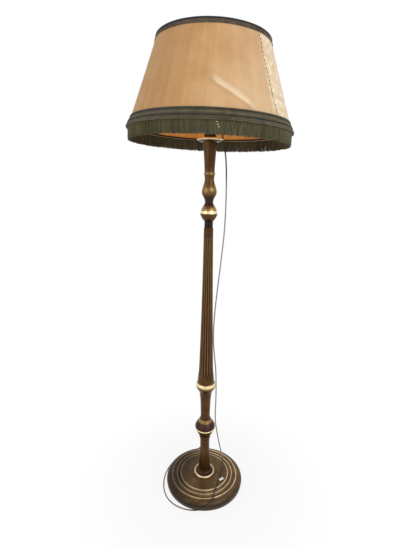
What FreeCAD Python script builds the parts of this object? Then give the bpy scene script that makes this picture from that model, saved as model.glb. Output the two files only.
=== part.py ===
import FreeCAD, Part

import math
import os

# Candlestick floor lamp: a turned wooden pole on a weighted round base, a tapering fluted column,
# a brass bayonet lampholder with a push-bar switch, and a fabric shade with braid and fringe.
# Millimetres, +Z up. The origin is the centre of the base's underside, on the pole's axis.

V = FreeCAD.Vector
UP = V(0, 0, 1)

# ---- clearances between mating parts
SLIP = 0.3              # a tube through a wooden bore, and a turning inside the gilt ring, on the radius
TENON_SLIP = 0.2        # a tenon in its socket, on the radius and at its end
RUNNING = 0.06          # a turning, sliding or threaded metal fit, on the radius
APART = 0.3             # faces of two moving bodies that pass each other

# ---- base
FELT_T = 2.0
FELT_INSET = 4.7        # the felt's edge inside the base's foot
BASE_R = 161.0
BASE_UNDERCUT = 2.3     # how far the foot stands in under the widest place
BASE_WIDEST_Z = 22.0
BASE_TOP_Z = 47.0
ROLL_W = 25.0           # from the base's edge in to the outer ring
COVE_A_W = 19.0         # from the outer ring in to the middle one
COVE_B_W = 16.0         # from the middle ring in to the inner one
WEIGHT_R = 118.0
WEIGHT_T = 16.0
WEIGHT_GAP = 0.5
NUT_POCKET_R = 13.0
NUT_POCKET_H = 9.0
FOOT_RING_R = 43.0
FOOT_RING_HOLE_R = 27.0
FOOT_RING_T = 8.0
FOOT_RING_FLANGE_T = 5.2

# ---- central tube that holds the pole together
TUBE_R = 5.0
TUBE_WALL = 1.0
NUT_ACROSS = 15.0
NUT_H = 6.0
WASHER_T = 1.5
WASHER_PLAY = 1.0       # a washer in its pocket, on the radius

# ---- lengths of the turned pole's pieces, from the base up
STEM_H = 264.0
BALUSTER_H = 179.0
COLUMN_H = 608.0
KNOP_H = 95.0
VASE_H = 97.0
NECK_H = 103.0
PAN_T = 12.0
PAN_DISH = 3.6          # how far the pan's middle lies below its lip
CUP_H = 35.2

# ---- radii of the turned pole
FOOT_TENON_R = 20.0
TENON_R = 9.0
TENON_L = 12.0
BALUSTER_FOOT_R = 21.6
COLUMN_FOOT_R = 32.6
COLUMN_TOP_R = 17.2
VASE_FOOT_R = 14.7
NECK_BEAD_R = 19.4
NECK_TOP_R = 23.9
PAN_R = 45.0
CUP_R = 21.0
CUP_POCKET_R = 12.0
CUP_POCKET_H = 9.0

# ---- flutes of the column
FLUTES = 16
FLUTE_START = 32.0      # above the column's foot
FLUTE_STOP = 22.0       # below the column's top
FLUTE_LOW_R = 4.3
FLUTE_HIGH_R = 2.6
FLUTE_DEPTH = 0.42      # share of the flute's own radius that is cut into the column

# ---- bulb
BULB_CAP_R = 11.0
BULB_CAP_H = 25.0
BULB_CAP_WALL = 0.8
BULB_FOOT_T = 4.0
BULB_R = 30.0
BULB_H = 107.0
GLASS_T = 0.8
GLASS_SINK = 12.0       # how far the glass neck reaches down into its cap
PIN_R = 1.1
PIN_UP = 6.5            # the locating pins above the cap's end
STEM_L = 42.0
MAST_L = 22.0
FILAMENT_R = 9.0
FILAMENT_WIRE_R = 0.5

# ---- lampholder
HOLDER_WALL = 1.2
BAYONET_SLIP = 0.4      # the bulb's cap in the barrel, on the radius
BARREL_WALL = 2.6
BARREL_H = 42.0
SKIRT_STEP = 3.5        # from the barrel's skin out to the skirt's
SKIRT_H = 12.0
CAP_H = 26.0
CAP_NECK_R = 9.0
CAP_NECK_H = 5.0
CAP_SHOULDER_H = 19.0
TUBE_IN_CAP = 10.0
CAP_FLOOR_H = 8.0
CORE_H = 19.0           # above the top of the cap
CORE_SINK = 2.0         # below it
SWITCH_UP = 7.0         # the push bar above the top of the cap
SWITCH_AZIMUTH = 115.0
SWITCH_TRAVEL = 4.0
SWITCH_R = 2.2
SWITCH_KNOB_R = 3.6
SWITCH_KNOB_L = 7.0
SWITCH_GAP = 0.8        # left between a pushed knob and the skirt
PLUNGER_R = 2.4
PLUNGER_L = 10.0
PLUNGER_OUT = 4.5
PLUNGER_WEB = 0.4       # porcelain left between a contact and the push bar
SPRING_L = 6.0
SPRING_WIRE = 0.6
BULB_TURN = 22.0
BULB_PUSH = 2.5
SLOT_PLAY = 0.3         # a pin in its bayonet slot, on each side
GLAND_AZIMUTH = 25.0
GLAND_DROP = 48.0       # degrees below the horizon
GLAND_R = 4.4
GLAND_L = 12.0
RELIEF_L = 20.0

# ---- gimbal and shade frame
PIVOT_UP = 23.0         # pivot line above the top of the lampholder's cap
CLAMP_R = 20.0
CLAMP_T = 4.5
CLAMP_SCALLOPS = 12
CLAMP_SCALLOP_R = 1.6
GIMBAL_T = 1.6
GIMBAL_RIM = 4.0        # how far the washer shows past the clamp rings
GIMBAL_AZIMUTH = 119.4
GIMBAL_PIN_R = 1.5
GIMBAL_PIN_SHORT = 5.0  # the pins end this far inside the fitter ring
BUSH_R = 3.2
BUSH_GAP = 3.0          # between the gimbal washer's edge and the bushes
FITTER_R = 38.0
WIRE_R = 1.8
LEAN = 1.81             # degrees that the shade leans in use
ARMS = 4
ARM_R = 1.7
STRUTS = 10
STRUT_R = 1.3

# ---- shade, along its own axis, before it leans
SHADE_RISE = 214.4      # top edge above the pivot line
SHADE_H = 274.0
COVER_TOP_R = 181.5
COVER_LOW_R = 271.8
COVER_T = 0.9
COVER_GAP = 0.1         # between the frame's rings and the cover, square to the cloth
LINING_GAP = 1.1        # between the frame's rings and the lining, square to the cloth
LINING_T = 0.6
TRIM_H = 21.0
TRIM_T = 1.6
TRIM_FOLD = 2.6         # how far the band is turned down inside the top edge
BRAID_H = 31.0
BRAID_BULGE = 8.0
FRINGE_T = 2.0
FRINGE_L = 35.4
FRINGE_GAP = 1.6        # the threads start this far below the cover's edge

# ---- cord
CORD_R = 2.5
FLOOR_GAP = 0.2         # under a cord that lies on the floor
COIL_GAP = 0.7          # between neighbouring turns
COIL_TURNS = 5
COIL_OUT_R = 33.5
COIL_Y = 345.0
PLUG_START_Y = 404.0
PLUG_X = -4.0
PLUG_RELIEF_L = 18.0
PLUG_RELIEF_R = 5.6
PLUG_L = 37.0
PLUG_W = 35.3
PLUG_T = 13.7
PLUG_LIFT = 0.1
PLUG_PIN_R = 2.0
PLUG_PIN_L = 19.0
PLUG_PIN_ROOT = 10.0    # how deep a pin sits in the plug
PLUG_PIN_ROOT_R = 2.8   # thicker root that holds the pin in the moulding
PLUG_PIN_SPACING = 19.0

# ---- sizes that follow from those above
BORE_R = TUBE_R + SLIP
BASE_FOOT_R = BASE_R - BASE_UNDERCUT
RING_A_R = BASE_R - ROLL_W
RING_B_R = RING_A_R - COVE_A_W
RING_C_R = RING_B_R - COVE_B_W
NUT_POCKET_Z = FELT_T + WEIGHT_GAP + NUT_POCKET_H
TUBE_END_Z = NUT_POCKET_Z - WASHER_T - NUT_H
BALUSTER_Z = BASE_TOP_Z + STEM_H
COLUMN_Z = BALUSTER_Z + BALUSTER_H
KNOP_Z = COLUMN_Z + COLUMN_H
VASE_Z = KNOP_Z + KNOP_H
NECK_Z = VASE_Z + VASE_H
PAN_Z = NECK_Z + NECK_H
CUP_Z = PAN_Z + PAN_T - PAN_DISH
CUP_TOP_Z = CUP_Z + CUP_H
CUP_POCKET_Z = CUP_TOP_Z - CUP_POCKET_H
TUBE_TOP_Z = CUP_TOP_Z + TUBE_IN_CAP
CAP_TOP_Z = CUP_TOP_Z + CAP_H
CORE_TOP_Z = CAP_TOP_Z + CORE_H
SWITCH_Z = CAP_TOP_Z + SWITCH_UP
BULB_Z = CORE_TOP_Z + PLUNGER_OUT
PIN_Z = BULB_Z + PIN_UP
PLUNGER_Z = BULB_Z - PLUNGER_L
SPRING_Z = PLUNGER_Z - SPRING_L
PIVOT_Z = CAP_TOP_Z + PIVOT_UP
BARREL_BORE_R = BULB_CAP_R + BAYONET_SLIP
BARREL_R = BARREL_BORE_R + BARREL_WALL
CAP_R = BARREL_R + SKIRT_STEP
PLUNGER_OFF = SWITCH_R + PLUNGER_R + PLUNGER_WEB
GIMBAL_R = CLAMP_R + GIMBAL_RIM
GIMBAL_PIN_END = FITTER_R - GIMBAL_PIN_SHORT
BUSH_START = GIMBAL_R + BUSH_GAP
SHADE_TOP_Z = PIVOT_Z + SHADE_RISE
SHADE_LOW_Z = SHADE_TOP_Z - SHADE_H
TOP_RING_Z = SHADE_TOP_Z - TRIM_FOLD - WIRE_R - 0.2
LOW_RING_Z = SHADE_LOW_Z + 3.0
SLANT_STRETCH = math.hypot(SHADE_H, COVER_LOW_R - COVER_TOP_R) / SHADE_H   # level width over square thickness
CORD_Z = CORD_R + FLOOR_GAP
COIL_PITCH = 2 * CORD_R + COIL_GAP
COIL_TOP_Z = CORD_Z + COIL_PITCH
PLUG_Z = PLUG_T / 2 + PLUG_LIFT
PLUG_FACE_Y = PLUG_START_Y + PLUG_RELIEF_L + PLUG_L


# ---------------------------------------------------------------- helpers
def line(a, b):
    return Part.makeLine(V(a[0], 0, a[1]), V(b[0], 0, b[1]))


def bow(a, mid, b):
    return Part.Arc(V(a[0], 0, a[1]), V(mid[0], 0, mid[1]), V(b[0], 0, b[1])).toShape()


def sweep_curve(points):
    """A smooth turned outline through (radius, height) points."""
    curve = Part.BSplineCurve()
    curve.interpolate([V(r, 0, z) for r, z in points])
    return curve.toShape()


def outline(start, steps):
    """Edges from start: a pair is a line, a pair of pairs an arc's middle and end, a list a curve."""
    edges = []
    at = start
    for step in steps:
        if isinstance(step, list):
            edges.append(sweep_curve([at] + step))
            at = step[-1]
        elif isinstance(step[0], tuple):
            edges.append(bow(at, step[0], step[1]))
            at = step[1]
        else:
            edges.append(line(at, step))
            at = step
    edges.append(line(at, start))
    return edges


def turned(start, steps):
    """A solid of revolution about the Z axis."""
    face = Part.Face(Part.Wire(outline(start, steps)))
    return face.revolve(V(0, 0, 0), UP, 360)


def disc(radius, low, high, hole=0.0):
    body = Part.makeCylinder(radius, high - low, V(0, 0, low))
    if hole:
        body = body.cut(Part.makeCylinder(hole, high - low + 2, V(0, 0, low - 1)))
    return body


def hexagon(across, low, high, hole):
    corner = across / math.sqrt(3)
    points = [radial(60 * k, corner, low) for k in range(7)]
    nut = Part.Face(Part.makePolygon(points)).extrude(V(0, 0, high - low))
    return nut.cut(Part.makeCylinder(hole, high - low + 2, V(0, 0, low - 1)))


def around(shape, degrees):
    copy = shape.copy()
    copy.rotate(V(0, 0, 0), UP, degrees)
    return copy


def radial(azimuth, radius, z):
    a = math.radians(azimuth)
    return V(radius * math.cos(a), radius * math.sin(a), z)


def wire_ring(radius, z, wire):
    return Part.makeTorus(radius, wire, V(0, 0, z), UP)


def rod(a, b, radius):
    return Part.makeCylinder(radius, (b - a).Length, a, b - a)


def cross_rod(azimuth, reach, z, radius):
    """A rod right through the axis."""
    return rod(radial(azimuth, -reach, z), radial(azimuth, reach, z), radius)


def save(name, shape):
    os.makedirs("parts", exist_ok=True)
    if not shape.isValid():
        print("not valid:", name)
    shape.exportStep("parts/" + name + ".step")


# ---------------------------------------------------------------- base
def felt_pad():
    return disc(BASE_FOOT_R - FELT_INSET, 0, FELT_T)


def wooden_base():
    """Turned base: a rolled edge, three rings with coves between them and a sloping top disc."""
    foot = FELT_T
    top = BASE_TOP_Z
    recess = foot + WEIGHT_T + WEIGHT_GAP
    recess_r = WEIGHT_R + WEIGHT_GAP
    tenon = FOOT_TENON_R + TENON_SLIP
    mortise = top - TENON_L - TENON_SLIP
    return turned((recess_r, foot), [
        (BASE_FOOT_R - 3, foot),
        ((BASE_FOOT_R - 0.6, foot + 1.2), (BASE_FOOT_R, foot + 4)),
        [(BASE_FOOT_R + 1, BASE_WIDEST_Z - 10), (BASE_R, BASE_WIDEST_Z), (BASE_R - 4, top - 16),
         (BASE_R - 13, top - 9.5), (RING_A_R + 3, top - 7.5)],
        ((RING_A_R, top - 5), (RING_A_R - 3, top - 7.2)),
        ((RING_A_R - 9, top - 10.4), (RING_B_R + 3.2, top - 6.5)),
        ((RING_B_R, top - 3), (RING_B_R - 3.2, top - 6)),
        ((RING_B_R - 8, top - 8.6), (RING_C_R + 2.5, top - 3.6)),
        ((RING_C_R - 0.5, top - 0.4), (RING_C_R - 4, top - 1.6)),
        [(RING_C_R - 21, top - 2.4), (FOOT_RING_R + 19, top - 1.8), (FOOT_RING_R + 3, top)],
        (tenon, top),
        (tenon, mortise),
        (BORE_R, mortise),
        (BORE_R, recess),
        (recess_r, recess),
    ])


def iron_weight():
    low = FELT_T + WEIGHT_GAP
    high = FELT_T + WEIGHT_T
    chamfer = 2
    return turned((NUT_POCKET_R, low), [
        (WEIGHT_R - chamfer, low),
        (WEIGHT_R, low + chamfer),
        (WEIGHT_R, high - chamfer),
        (WEIGHT_R - chamfer, high),
        (BORE_R, high),
        (BORE_R, NUT_POCKET_Z),
        (NUT_POCKET_R, NUT_POCKET_Z),
    ])


def base_washer():
    return disc(NUT_POCKET_R - WASHER_PLAY, NUT_POCKET_Z - WASHER_T, NUT_POCKET_Z, BORE_R)


def base_nut():
    return hexagon(NUT_ACROSS, TUBE_END_Z, TUBE_END_Z + NUT_H, TUBE_R + RUNNING)


def foot_ring():
    """The gilt ring round the pole's foot: a half-round moulding with a quirk inside it."""
    low = BASE_TOP_Z
    top = low + FOOT_RING_T
    flange = low + FOOT_RING_FLANGE_T
    return turned((FOOT_RING_HOLE_R, low), [
        (FOOT_RING_R, low),
        ((FOOT_RING_R + 0.8, low + 4.2), (FOOT_RING_R - 4, top)),
        ((FOOT_RING_R - 7.5, top - 0.6), (FOOT_RING_R - 9.5, flange)),
        (FOOT_RING_HOLE_R, flange),
    ])


# ---------------------------------------------------------------- turned pole
def tenon_end(z):
    """Outline points of the bored tenon that hangs below height z, from the bore outwards."""
    return [(TENON_R, z - TENON_L), (TENON_R, z)]


def socket_end(z):
    """Outline points of the socket in the top at height z, from the rim inwards to the bore."""
    r = TENON_R + TENON_SLIP
    depth = z - TENON_L - TENON_SLIP
    return [(r, z), (r, depth), (BORE_R, depth)]


def lower_turning():
    """Foot collar, slim stem and the big lower knop over its thin gilt ring."""
    shelf = BASE_TOP_Z
    low = shelf + FOOT_RING_FLANGE_T + TENON_SLIP
    neck = FOOT_RING_HOLE_R - SLIP
    collar = FOOT_RING_R - 11.5
    top = BALUSTER_Z
    return turned((BORE_R, shelf - TENON_L), [
        (FOOT_TENON_R, shelf - TENON_L),
        (FOOT_TENON_R, shelf),
        (neck, shelf),
        (neck, low),
        (collar, low),
        ((collar + 1.7, low + 4), (collar, low + 8)),
        ((27.0, low + 11), (25.2, low + 17)),
        [(22.6, shelf + 58), (20.4, shelf + 98), (19.2, top - 126), (19.6, top - 108)],
        [(22.4, top - 98), (27.5, top - 89), (31.8, top - 79), (35.2, top - 70)],
        (37.6, top - 66.5),
        ((39.2, top - 63), (38.2, top - 59.5)),
        (37.2, top - 58.5),
        [(40.4, top - 53.5), (41.7, top - 45), (39.6, top - 31), (34.2, top - 19), (26.6, top - 8.5)],
        (24.2, top - 7),
        ((25.2, top - 3.5), (23.6, top)),
    ] + socket_end(top))


def baluster_turning():
    """Slim waisted baluster that swells into the broad gilt collar under the column."""
    low = BALUSTER_Z
    top = COLUMN_Z
    return turned((BORE_R, low - TENON_L), tenon_end(low) + [
        (BALUSTER_FOOT_R, low),
        [(19.6, low + 9), (19.1, low + 34), (20.0, low + 67), (22.0, top - 79), (25.0, top - 56)],
        ((28.6, top - 46.5), (34.2, top - 38.5)),
        ((39.4, top - 24), (36.6, top - 11)),
        ((33.0, top - 8.8), (32.2, top - 5)),
        (COLUMN_FOOT_R, top),
    ] + socket_end(top))


def column_outline():
    """Swept in over the lowest part, then an even taper with a slight swell."""
    rise = COLUMN_Z + COLUMN_H * 0.27
    waist = COLUMN_Z + COLUMN_H * 0.48
    upper = COLUMN_Z + COLUMN_H * 0.70
    return [(COLUMN_FOOT_R, COLUMN_Z), (31.6, COLUMN_Z + 15), (29.4, COLUMN_Z + 33), (27.6, COLUMN_Z + 65),
            (24.7, rise), (21.9, waist), (19.4, upper), (COLUMN_TOP_R, KNOP_Z)]


def flute_cutter():
    """One flute: round sections that narrow upwards and follow the column's side, with round ends."""
    side = sweep_curve(column_outline())
    stations = 8
    sections = []
    ends = []
    for k in range(stations):
        share = k / (stations - 1)
        z = COLUMN_Z + FLUTE_START + (COLUMN_H - FLUTE_START - FLUTE_STOP) * share
        radius = FLUTE_LOW_R + (FLUTE_HIGH_R - FLUTE_LOW_R) * share
        level = Part.makeLine(V(0, 0, z), V(COLUMN_FOOT_R + 1, 0, z))
        skin = level.distToShape(side)[1][0][0].x
        centre = V(skin + radius * (1 - FLUTE_DEPTH), 0, z)
        sections.append(Part.Wire(Part.makeCircle(radius, centre, UP)))
        if k in (0, stations - 1):
            ends.append(Part.makeSphere(radius, centre))
    groove = Part.makeLoft(sections, True, False)
    return groove.fuse(ends)


def fluted_column():
    """The tapering column, with flutes that narrow as it does."""
    points = column_outline()
    shaft = turned((BORE_R, COLUMN_Z - TENON_L), tenon_end(COLUMN_Z) + [
        points[0],
        points[1:],
    ] + socket_end(KNOP_Z))
    cutter = flute_cutter()
    return shaft.cut([around(cutter, 360 / FLUTES * k) for k in range(FLUTES)])


def knop_turning():
    """Light bead, dark collar and the upper knop with its gilt belt."""
    low = KNOP_Z
    top = VASE_Z
    collar = 15.4
    return turned((BORE_R, low - TENON_L), tenon_end(low) + [
        (COLUMN_TOP_R - 0.8, low),
        ((COLUMN_TOP_R + 0.4, low + 2.5), (COLUMN_TOP_R - 1, low + 5)),
        (collar, low + 6),
        (collar, top - 71),
        ((15.8, top - 67), (18.4, top - 64)),
        [(24.4, top - 56.5), (28.2, top - 49.5)],
        (29.2, top - 46.5),
        ((30.6, top - 42), (29.4, top - 37.5)),
        [(28.4, top - 31), (25.2, top - 21.5), (21.0, top - 14), (16.6, top - 7)],
        (VASE_FOOT_R + 0.2, top - 4),
        (VASE_FOOT_R, top),
    ] + socket_end(top))


def vase_turning():
    """Small vase: a dark neck, a full belly and a drawn-in shoulder under a bead."""
    low = VASE_Z
    top = NECK_Z
    return turned((BORE_R, low - TENON_L), tenon_end(low) + [
        (VASE_FOOT_R, low),
        [(15.6, low + 7), (18.6, low + 14.5), (22.6, low + 21.5), (25.8, low + 28.5), (26.6, low + 35.5),
         (25.4, low + 45.5), (21.8, low + 56.5), (16.6, top - 20.5), (16.8, top - 13), (17.6, top - 7)],
        (17.8, top - 4.5),
        ((NECK_BEAD_R + 0.5, top - 2), (NECK_BEAD_R, top)),
    ] + socket_end(top))


def neck_turning():
    """Upper half of the bead and the plain neck that widens to the drip pan."""
    low = NECK_Z
    top = PAN_Z
    return turned((BORE_R, low - TENON_L), tenon_end(low) + [
        (NECK_BEAD_R, low),
        ((NECK_BEAD_R + 0.2, low + 1.5), (NECK_BEAD_R - 1.5, low + 4)),
        [(17.7, low + 13), (18.9, low + 35), (20.6, low + 60), (22.4, top - 18), (23.6, top - 5)],
        (NECK_TOP_R, top),
    ] + socket_end(top))


def drip_pan():
    """Thin turned pan with a rolled lip and a shallow dish."""
    low = PAN_Z
    high = PAN_Z + PAN_T
    return turned((BORE_R, low - TENON_L), tenon_end(low) + [
        (PAN_R - 18, low),
        [(PAN_R - 12, low + 1.6), (PAN_R - 6, low + 4.6), (PAN_R - 1.6, low + 7.6)],
        ((PAN_R, high - 2.2), (PAN_R - 2.2, high)),
        ((PAN_R - 9, high - 3.2), (CUP_R + 1.2, CUP_Z)),
        (BORE_R, CUP_Z),
    ])


def candle_cup():
    """Short turned sleeve that stands in the pan like a candle's foot, and hides the lock nut."""
    waist = CUP_R - 0.9
    rim = CUP_R - 0.6
    return turned((BORE_R, CUP_Z), [
        (rim, CUP_Z),
        (CUP_R, CUP_Z + 2),
        [(waist, CUP_Z + 14), (rim, CUP_TOP_Z - 4)],
        ((rim, CUP_TOP_Z - 1.2), (CUP_R - 2.4, CUP_TOP_Z)),
        (CUP_POCKET_R, CUP_TOP_Z),
        (CUP_POCKET_R, CUP_POCKET_Z),
        (BORE_R, CUP_POCKET_Z),
    ])


def lock_washer():
    return disc(CUP_POCKET_R - WASHER_PLAY, CUP_POCKET_Z, CUP_POCKET_Z + WASHER_T, BORE_R)


def lock_nut():
    low = CUP_POCKET_Z + WASHER_T
    return hexagon(NUT_ACROSS, low, low + NUT_H, TUBE_R + RUNNING)


def central_tube():
    """Steel tube, threaded at both ends, through the whole pole."""
    return disc(TUBE_R, TUBE_END_Z, TUBE_TOP_Z, TUBE_R - TUBE_WALL)


# ---------------------------------------------------------------- lampholder
def gland_axis():
    """Start and direction of the cord gland on the side of the cap."""
    way = V(math.cos(math.radians(GLAND_DROP)), 0, -math.sin(math.radians(GLAND_DROP)))
    way = FreeCAD.Rotation(UP, GLAND_AZIMUTH).multVec(way)
    start = radial(GLAND_AZIMUTH, CAP_R - 5, CAP_TOP_Z - HOLDER_WALL - 1)
    return start, way


def holder_cap():
    """Spun brass cap, open at the top, with its threaded neck and the slanting cord gland."""
    z = CUP_TOP_Z
    top = CAP_TOP_Z
    neck = TUBE_R + RUNNING
    inner = CAP_R - HOLDER_WALL
    cap = turned((neck, z), [
        (CAP_NECK_R, z),
        (CAP_NECK_R, z + CAP_NECK_H),
        ((CAP_R - 1.6, z + 10.5), (CAP_R, z + CAP_SHOULDER_H)),
        (CAP_R, top),
        (inner, top),
        (inner, z + CAP_SHOULDER_H),
        ((inner - 1.8, z + 12.5), (CAP_NECK_R, z + CAP_FLOOR_H)),
        (neck, z + CAP_FLOOR_H),
    ])
    start, way = gland_axis()
    inside = disc(CAP_R - HOLDER_WALL / 2, z + CAP_NECK_H, top + 5)
    boss = Part.makeCylinder(GLAND_R, GLAND_L, start, way).cut(inside)
    hole = Part.makeCylinder(CORD_R + RUNNING, GLAND_L + 6, start - way * 3, way)
    return cap.fuse(boss).cut(hole)


def flex_relief():
    """Tapered rubber sleeve that grips the cord where it leaves the gland."""
    start, way = gland_axis()
    return Part.makeCone(GLAND_R - 0.4, CORD_R + 0.7, RELIEF_L, start + way * GLAND_L, way)


def cord_exit():
    start, way = gland_axis()
    return start + way * (GLAND_L + RELIEF_L), way


def bayonet_slot(azimuth):
    """Slot from the barrel's rim down and round to where the bulb's pin rests."""
    width = 2 * (PIN_R + SLOT_PLAY)
    low = PIN_Z - BULB_PUSH - PIN_R - SLOT_PLAY
    inner = BARREL_BORE_R - 2
    depth = BARREL_WALL + 4
    foot = V(inner, -width / 2, low)
    steps = 6
    leg = Part.makeBox(depth, width, PIN_Z + PIN_R + SLOT_PLAY - low, foot)
    legs = [around(leg, azimuth + BULB_TURN * k / steps) for k in range(steps + 1)]
    down = Part.makeBox(depth, width, CAP_TOP_Z + BARREL_H - low + 2, foot)
    return around(down, azimuth + BULB_TURN).fuse(legs)


def switch_bore():
    return cross_rod(SWITCH_AZIMUTH, 2 * CAP_R, SWITCH_Z, SWITCH_R + RUNNING)


def holder_barrel():
    """Brass barrel with its skirt, two bayonet slots and the holes for the push bar."""
    z = CAP_TOP_Z
    skirt = z + SKIRT_H
    barrel = turned((BARREL_BORE_R, z), [
        (CAP_R, z),
        (CAP_R, skirt - 2),
        ((CAP_R - 0.8, skirt - 0.5), (CAP_R - 2.4, skirt)),
        (BARREL_R, skirt),
        (BARREL_R, z + BARREL_H),
        (BARREL_BORE_R, z + BARREL_H),
    ])
    return barrel.cut([switch_bore(), bayonet_slot(SWITCH_AZIMUTH), bayonet_slot(SWITCH_AZIMUTH + 180)])


def contact_places(z):
    """Where the two contacts stand, on both sides of the push bar."""
    return [radial(SWITCH_AZIMUTH + side, PLUNGER_OFF, z) for side in (90, 270)]


def holder_core():
    """Porcelain core with two blind bores for the sprung contacts and a cross hole for the push bar."""
    core = disc(BARREL_BORE_R - RUNNING, CAP_TOP_Z - CORE_SINK, CORE_TOP_Z)
    bores = [Part.makeCylinder(PLUNGER_R + RUNNING, CORE_H, p) for p in contact_places(SPRING_Z)]
    return core.cut([switch_bore()] + bores)


def contact_plungers():
    """Two brass contacts with a chamfered tip."""
    tip = 1.2
    solids = []
    for low in contact_places(PLUNGER_Z):
        shank = Part.makeCylinder(PLUNGER_R, PLUNGER_L - tip, low)
        end = Part.makeCone(PLUNGER_R, PLUNGER_R - 0.8, tip, low + UP * (PLUNGER_L - tip))
        solids.append(shank.fuse(end))
    return Part.makeCompound(solids)


def plunger_springs():
    """The two coil springs under the contacts, as the hollow cylinders that they fill."""
    outer = PLUNGER_R - 0.4
    solids = []
    for low in contact_places(SPRING_Z):
        bore = Part.makeCylinder(outer - SPRING_WIRE, SPRING_L, low)
        solids.append(Part.makeCylinder(outer, SPRING_L, low).cut(bore))
    return Part.makeCompound(solids)


def switch_bar():
    """Push bar right through the holder, with a round knob on each end."""
    inner = CAP_R + SWITCH_TRAVEL + SWITCH_GAP
    chamfer = 2.0
    pieces = []
    for azimuth in (SWITCH_AZIMUTH, SWITCH_AZIMUTH + 180):
        start = radial(azimuth, inner, SWITCH_Z)
        edge = radial(azimuth, inner + SWITCH_KNOB_L - chamfer, SWITCH_Z)
        end = radial(azimuth, inner + SWITCH_KNOB_L, SWITCH_Z)
        pieces.append(rod(start, edge, SWITCH_KNOB_R))
        pieces.append(Part.makeCone(SWITCH_KNOB_R, SWITCH_KNOB_R - 1.6, chamfer, edge, end - edge))
    return cross_rod(SWITCH_AZIMUTH, inner, SWITCH_Z, SWITCH_R).fuse(pieces)


def clamp_ring(low):
    """Brass ring nut on the barrel's thread, with a grip of shallow scallops round its rim."""
    ring = disc(CLAMP_R, low, low + CLAMP_T, BARREL_R + RUNNING)
    scallops = []
    for k in range(CLAMP_SCALLOPS):
        middle = radial(360 / CLAMP_SCALLOPS * k, CLAMP_R + 1, low - 1)
        scallops.append(Part.makeCylinder(CLAMP_SCALLOP_R, CLAMP_T + 2, middle))
    return ring.cut(scallops)


def lower_clamp_ring():
    return clamp_ring(PIVOT_Z - GIMBAL_T / 2 - APART - CLAMP_T)


def upper_clamp_ring():
    return clamp_ring(PIVOT_Z + GIMBAL_T / 2 + APART)


# ---------------------------------------------------------------- bulb
def bulb_cap():
    """Brass bayonet cap with two locating pins."""
    floor = BULB_Z + BULB_FOOT_T
    rim = BULB_Z + BULB_CAP_H
    inner = BULB_CAP_R - BULB_CAP_WALL
    cap = turned((0, BULB_Z), [
        (BULB_CAP_R - 2, BULB_Z),
        (BULB_CAP_R, BULB_Z + 2),
        (BULB_CAP_R, rim),
        (inner, rim),
        (inner, floor),
        (0, floor),
    ])
    pins = cross_rod(SWITCH_AZIMUTH, BARREL_R - 0.6, PIN_Z, PIN_R)
    return cap.fuse(pins.cut(disc(inner, floor, rim)))


def bulb_glass():
    """Thin blown envelope, open into the cap."""
    z = BULB_Z + BULB_CAP_H
    top = BULB_Z + BULB_H
    widest = top - BULB_R
    neck = BULB_CAP_R - BULB_CAP_WALL - 0.4
    diagonal = math.sqrt(0.5)

    def side(wall):
        """The curved side from the neck to the widest place, drawn in by the wall."""
        return [(neck - wall, z), (neck + 2.6 - wall, z + 8), (BULB_R - 9.5 - wall, widest - 21),
                (BULB_R - 2.0 - wall, widest - 8.5), (BULB_R - wall, widest)]

    def crown(radius):
        return (radius * diagonal, widest + radius * diagonal)

    inner = BULB_R - GLASS_T
    return turned((neck, z - GLASS_SINK), [
        (neck, z),
        side(0)[1:],
        (crown(BULB_R), (0, top)),
        (0, top - GLASS_T),
        (crown(inner), (inner, widest)),
        side(GLASS_T)[-2::-1],
        (neck - GLASS_T, z - GLASS_SINK),
    ])


def bulb_stem():
    """Glass foot tube inside the envelope, with the filament's bow on its mast."""
    foot_z = BULB_Z + BULB_FOOT_T + 0.2
    tip = foot_z + STEM_L
    bow_z = tip + MAST_L - 1.5
    foot = Part.makeCone(6.0, 2.2, STEM_L, V(0, 0, foot_z))
    mast = Part.makeCylinder(1.2, MAST_L, V(0, 0, tip))
    bow_ring = Part.makeTorus(FILAMENT_R, FILAMENT_WIRE_R, V(0, 0, bow_z), UP)
    spokes = [cross_rod(azimuth, FILAMENT_R, bow_z, FILAMENT_WIRE_R) for azimuth in (0, 90)]
    return foot.fuse([mast, bow_ring] + spokes)


# ---------------------------------------------------------------- gimbal and shade frame
def gimbal_washer():
    """Flat ring between the clamp rings, with the two pivot pins that carry the shade."""
    low = PIVOT_Z - GIMBAL_T / 2
    plate = disc(GIMBAL_R, low, low + GIMBAL_T, BARREL_R + RUNNING)
    pins = []
    for side in (-1, 1):
        inner = radial(GIMBAL_AZIMUTH, side * (GIMBAL_R - 3), PIVOT_Z)
        outer = radial(GIMBAL_AZIMUTH, side * GIMBAL_PIN_END, PIVOT_Z)
        pins.append(rod(inner, outer, GIMBAL_PIN_R))
    return plate.fuse(pins)


def lean(shape):
    """Turns a piece of the shade about the gimbal's pivot line to the lean that it has in use."""
    copy = shape.copy()
    copy.rotate(V(0, 0, PIVOT_Z), radial(GIMBAL_AZIMUTH, 1, 0), LEAN)
    return copy


def cover_radius(z):
    """Outer radius of the fabric cover at height z, before the lean."""
    return COVER_TOP_R + (COVER_LOW_R - COVER_TOP_R) * (SHADE_TOP_Z - z) / SHADE_H


def frame_radius(z):
    """Middle of the frame's wires, just inside the cover."""
    return cover_radius(z) - COVER_T - (WIRE_R + COVER_GAP) * SLANT_STRETCH


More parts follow.
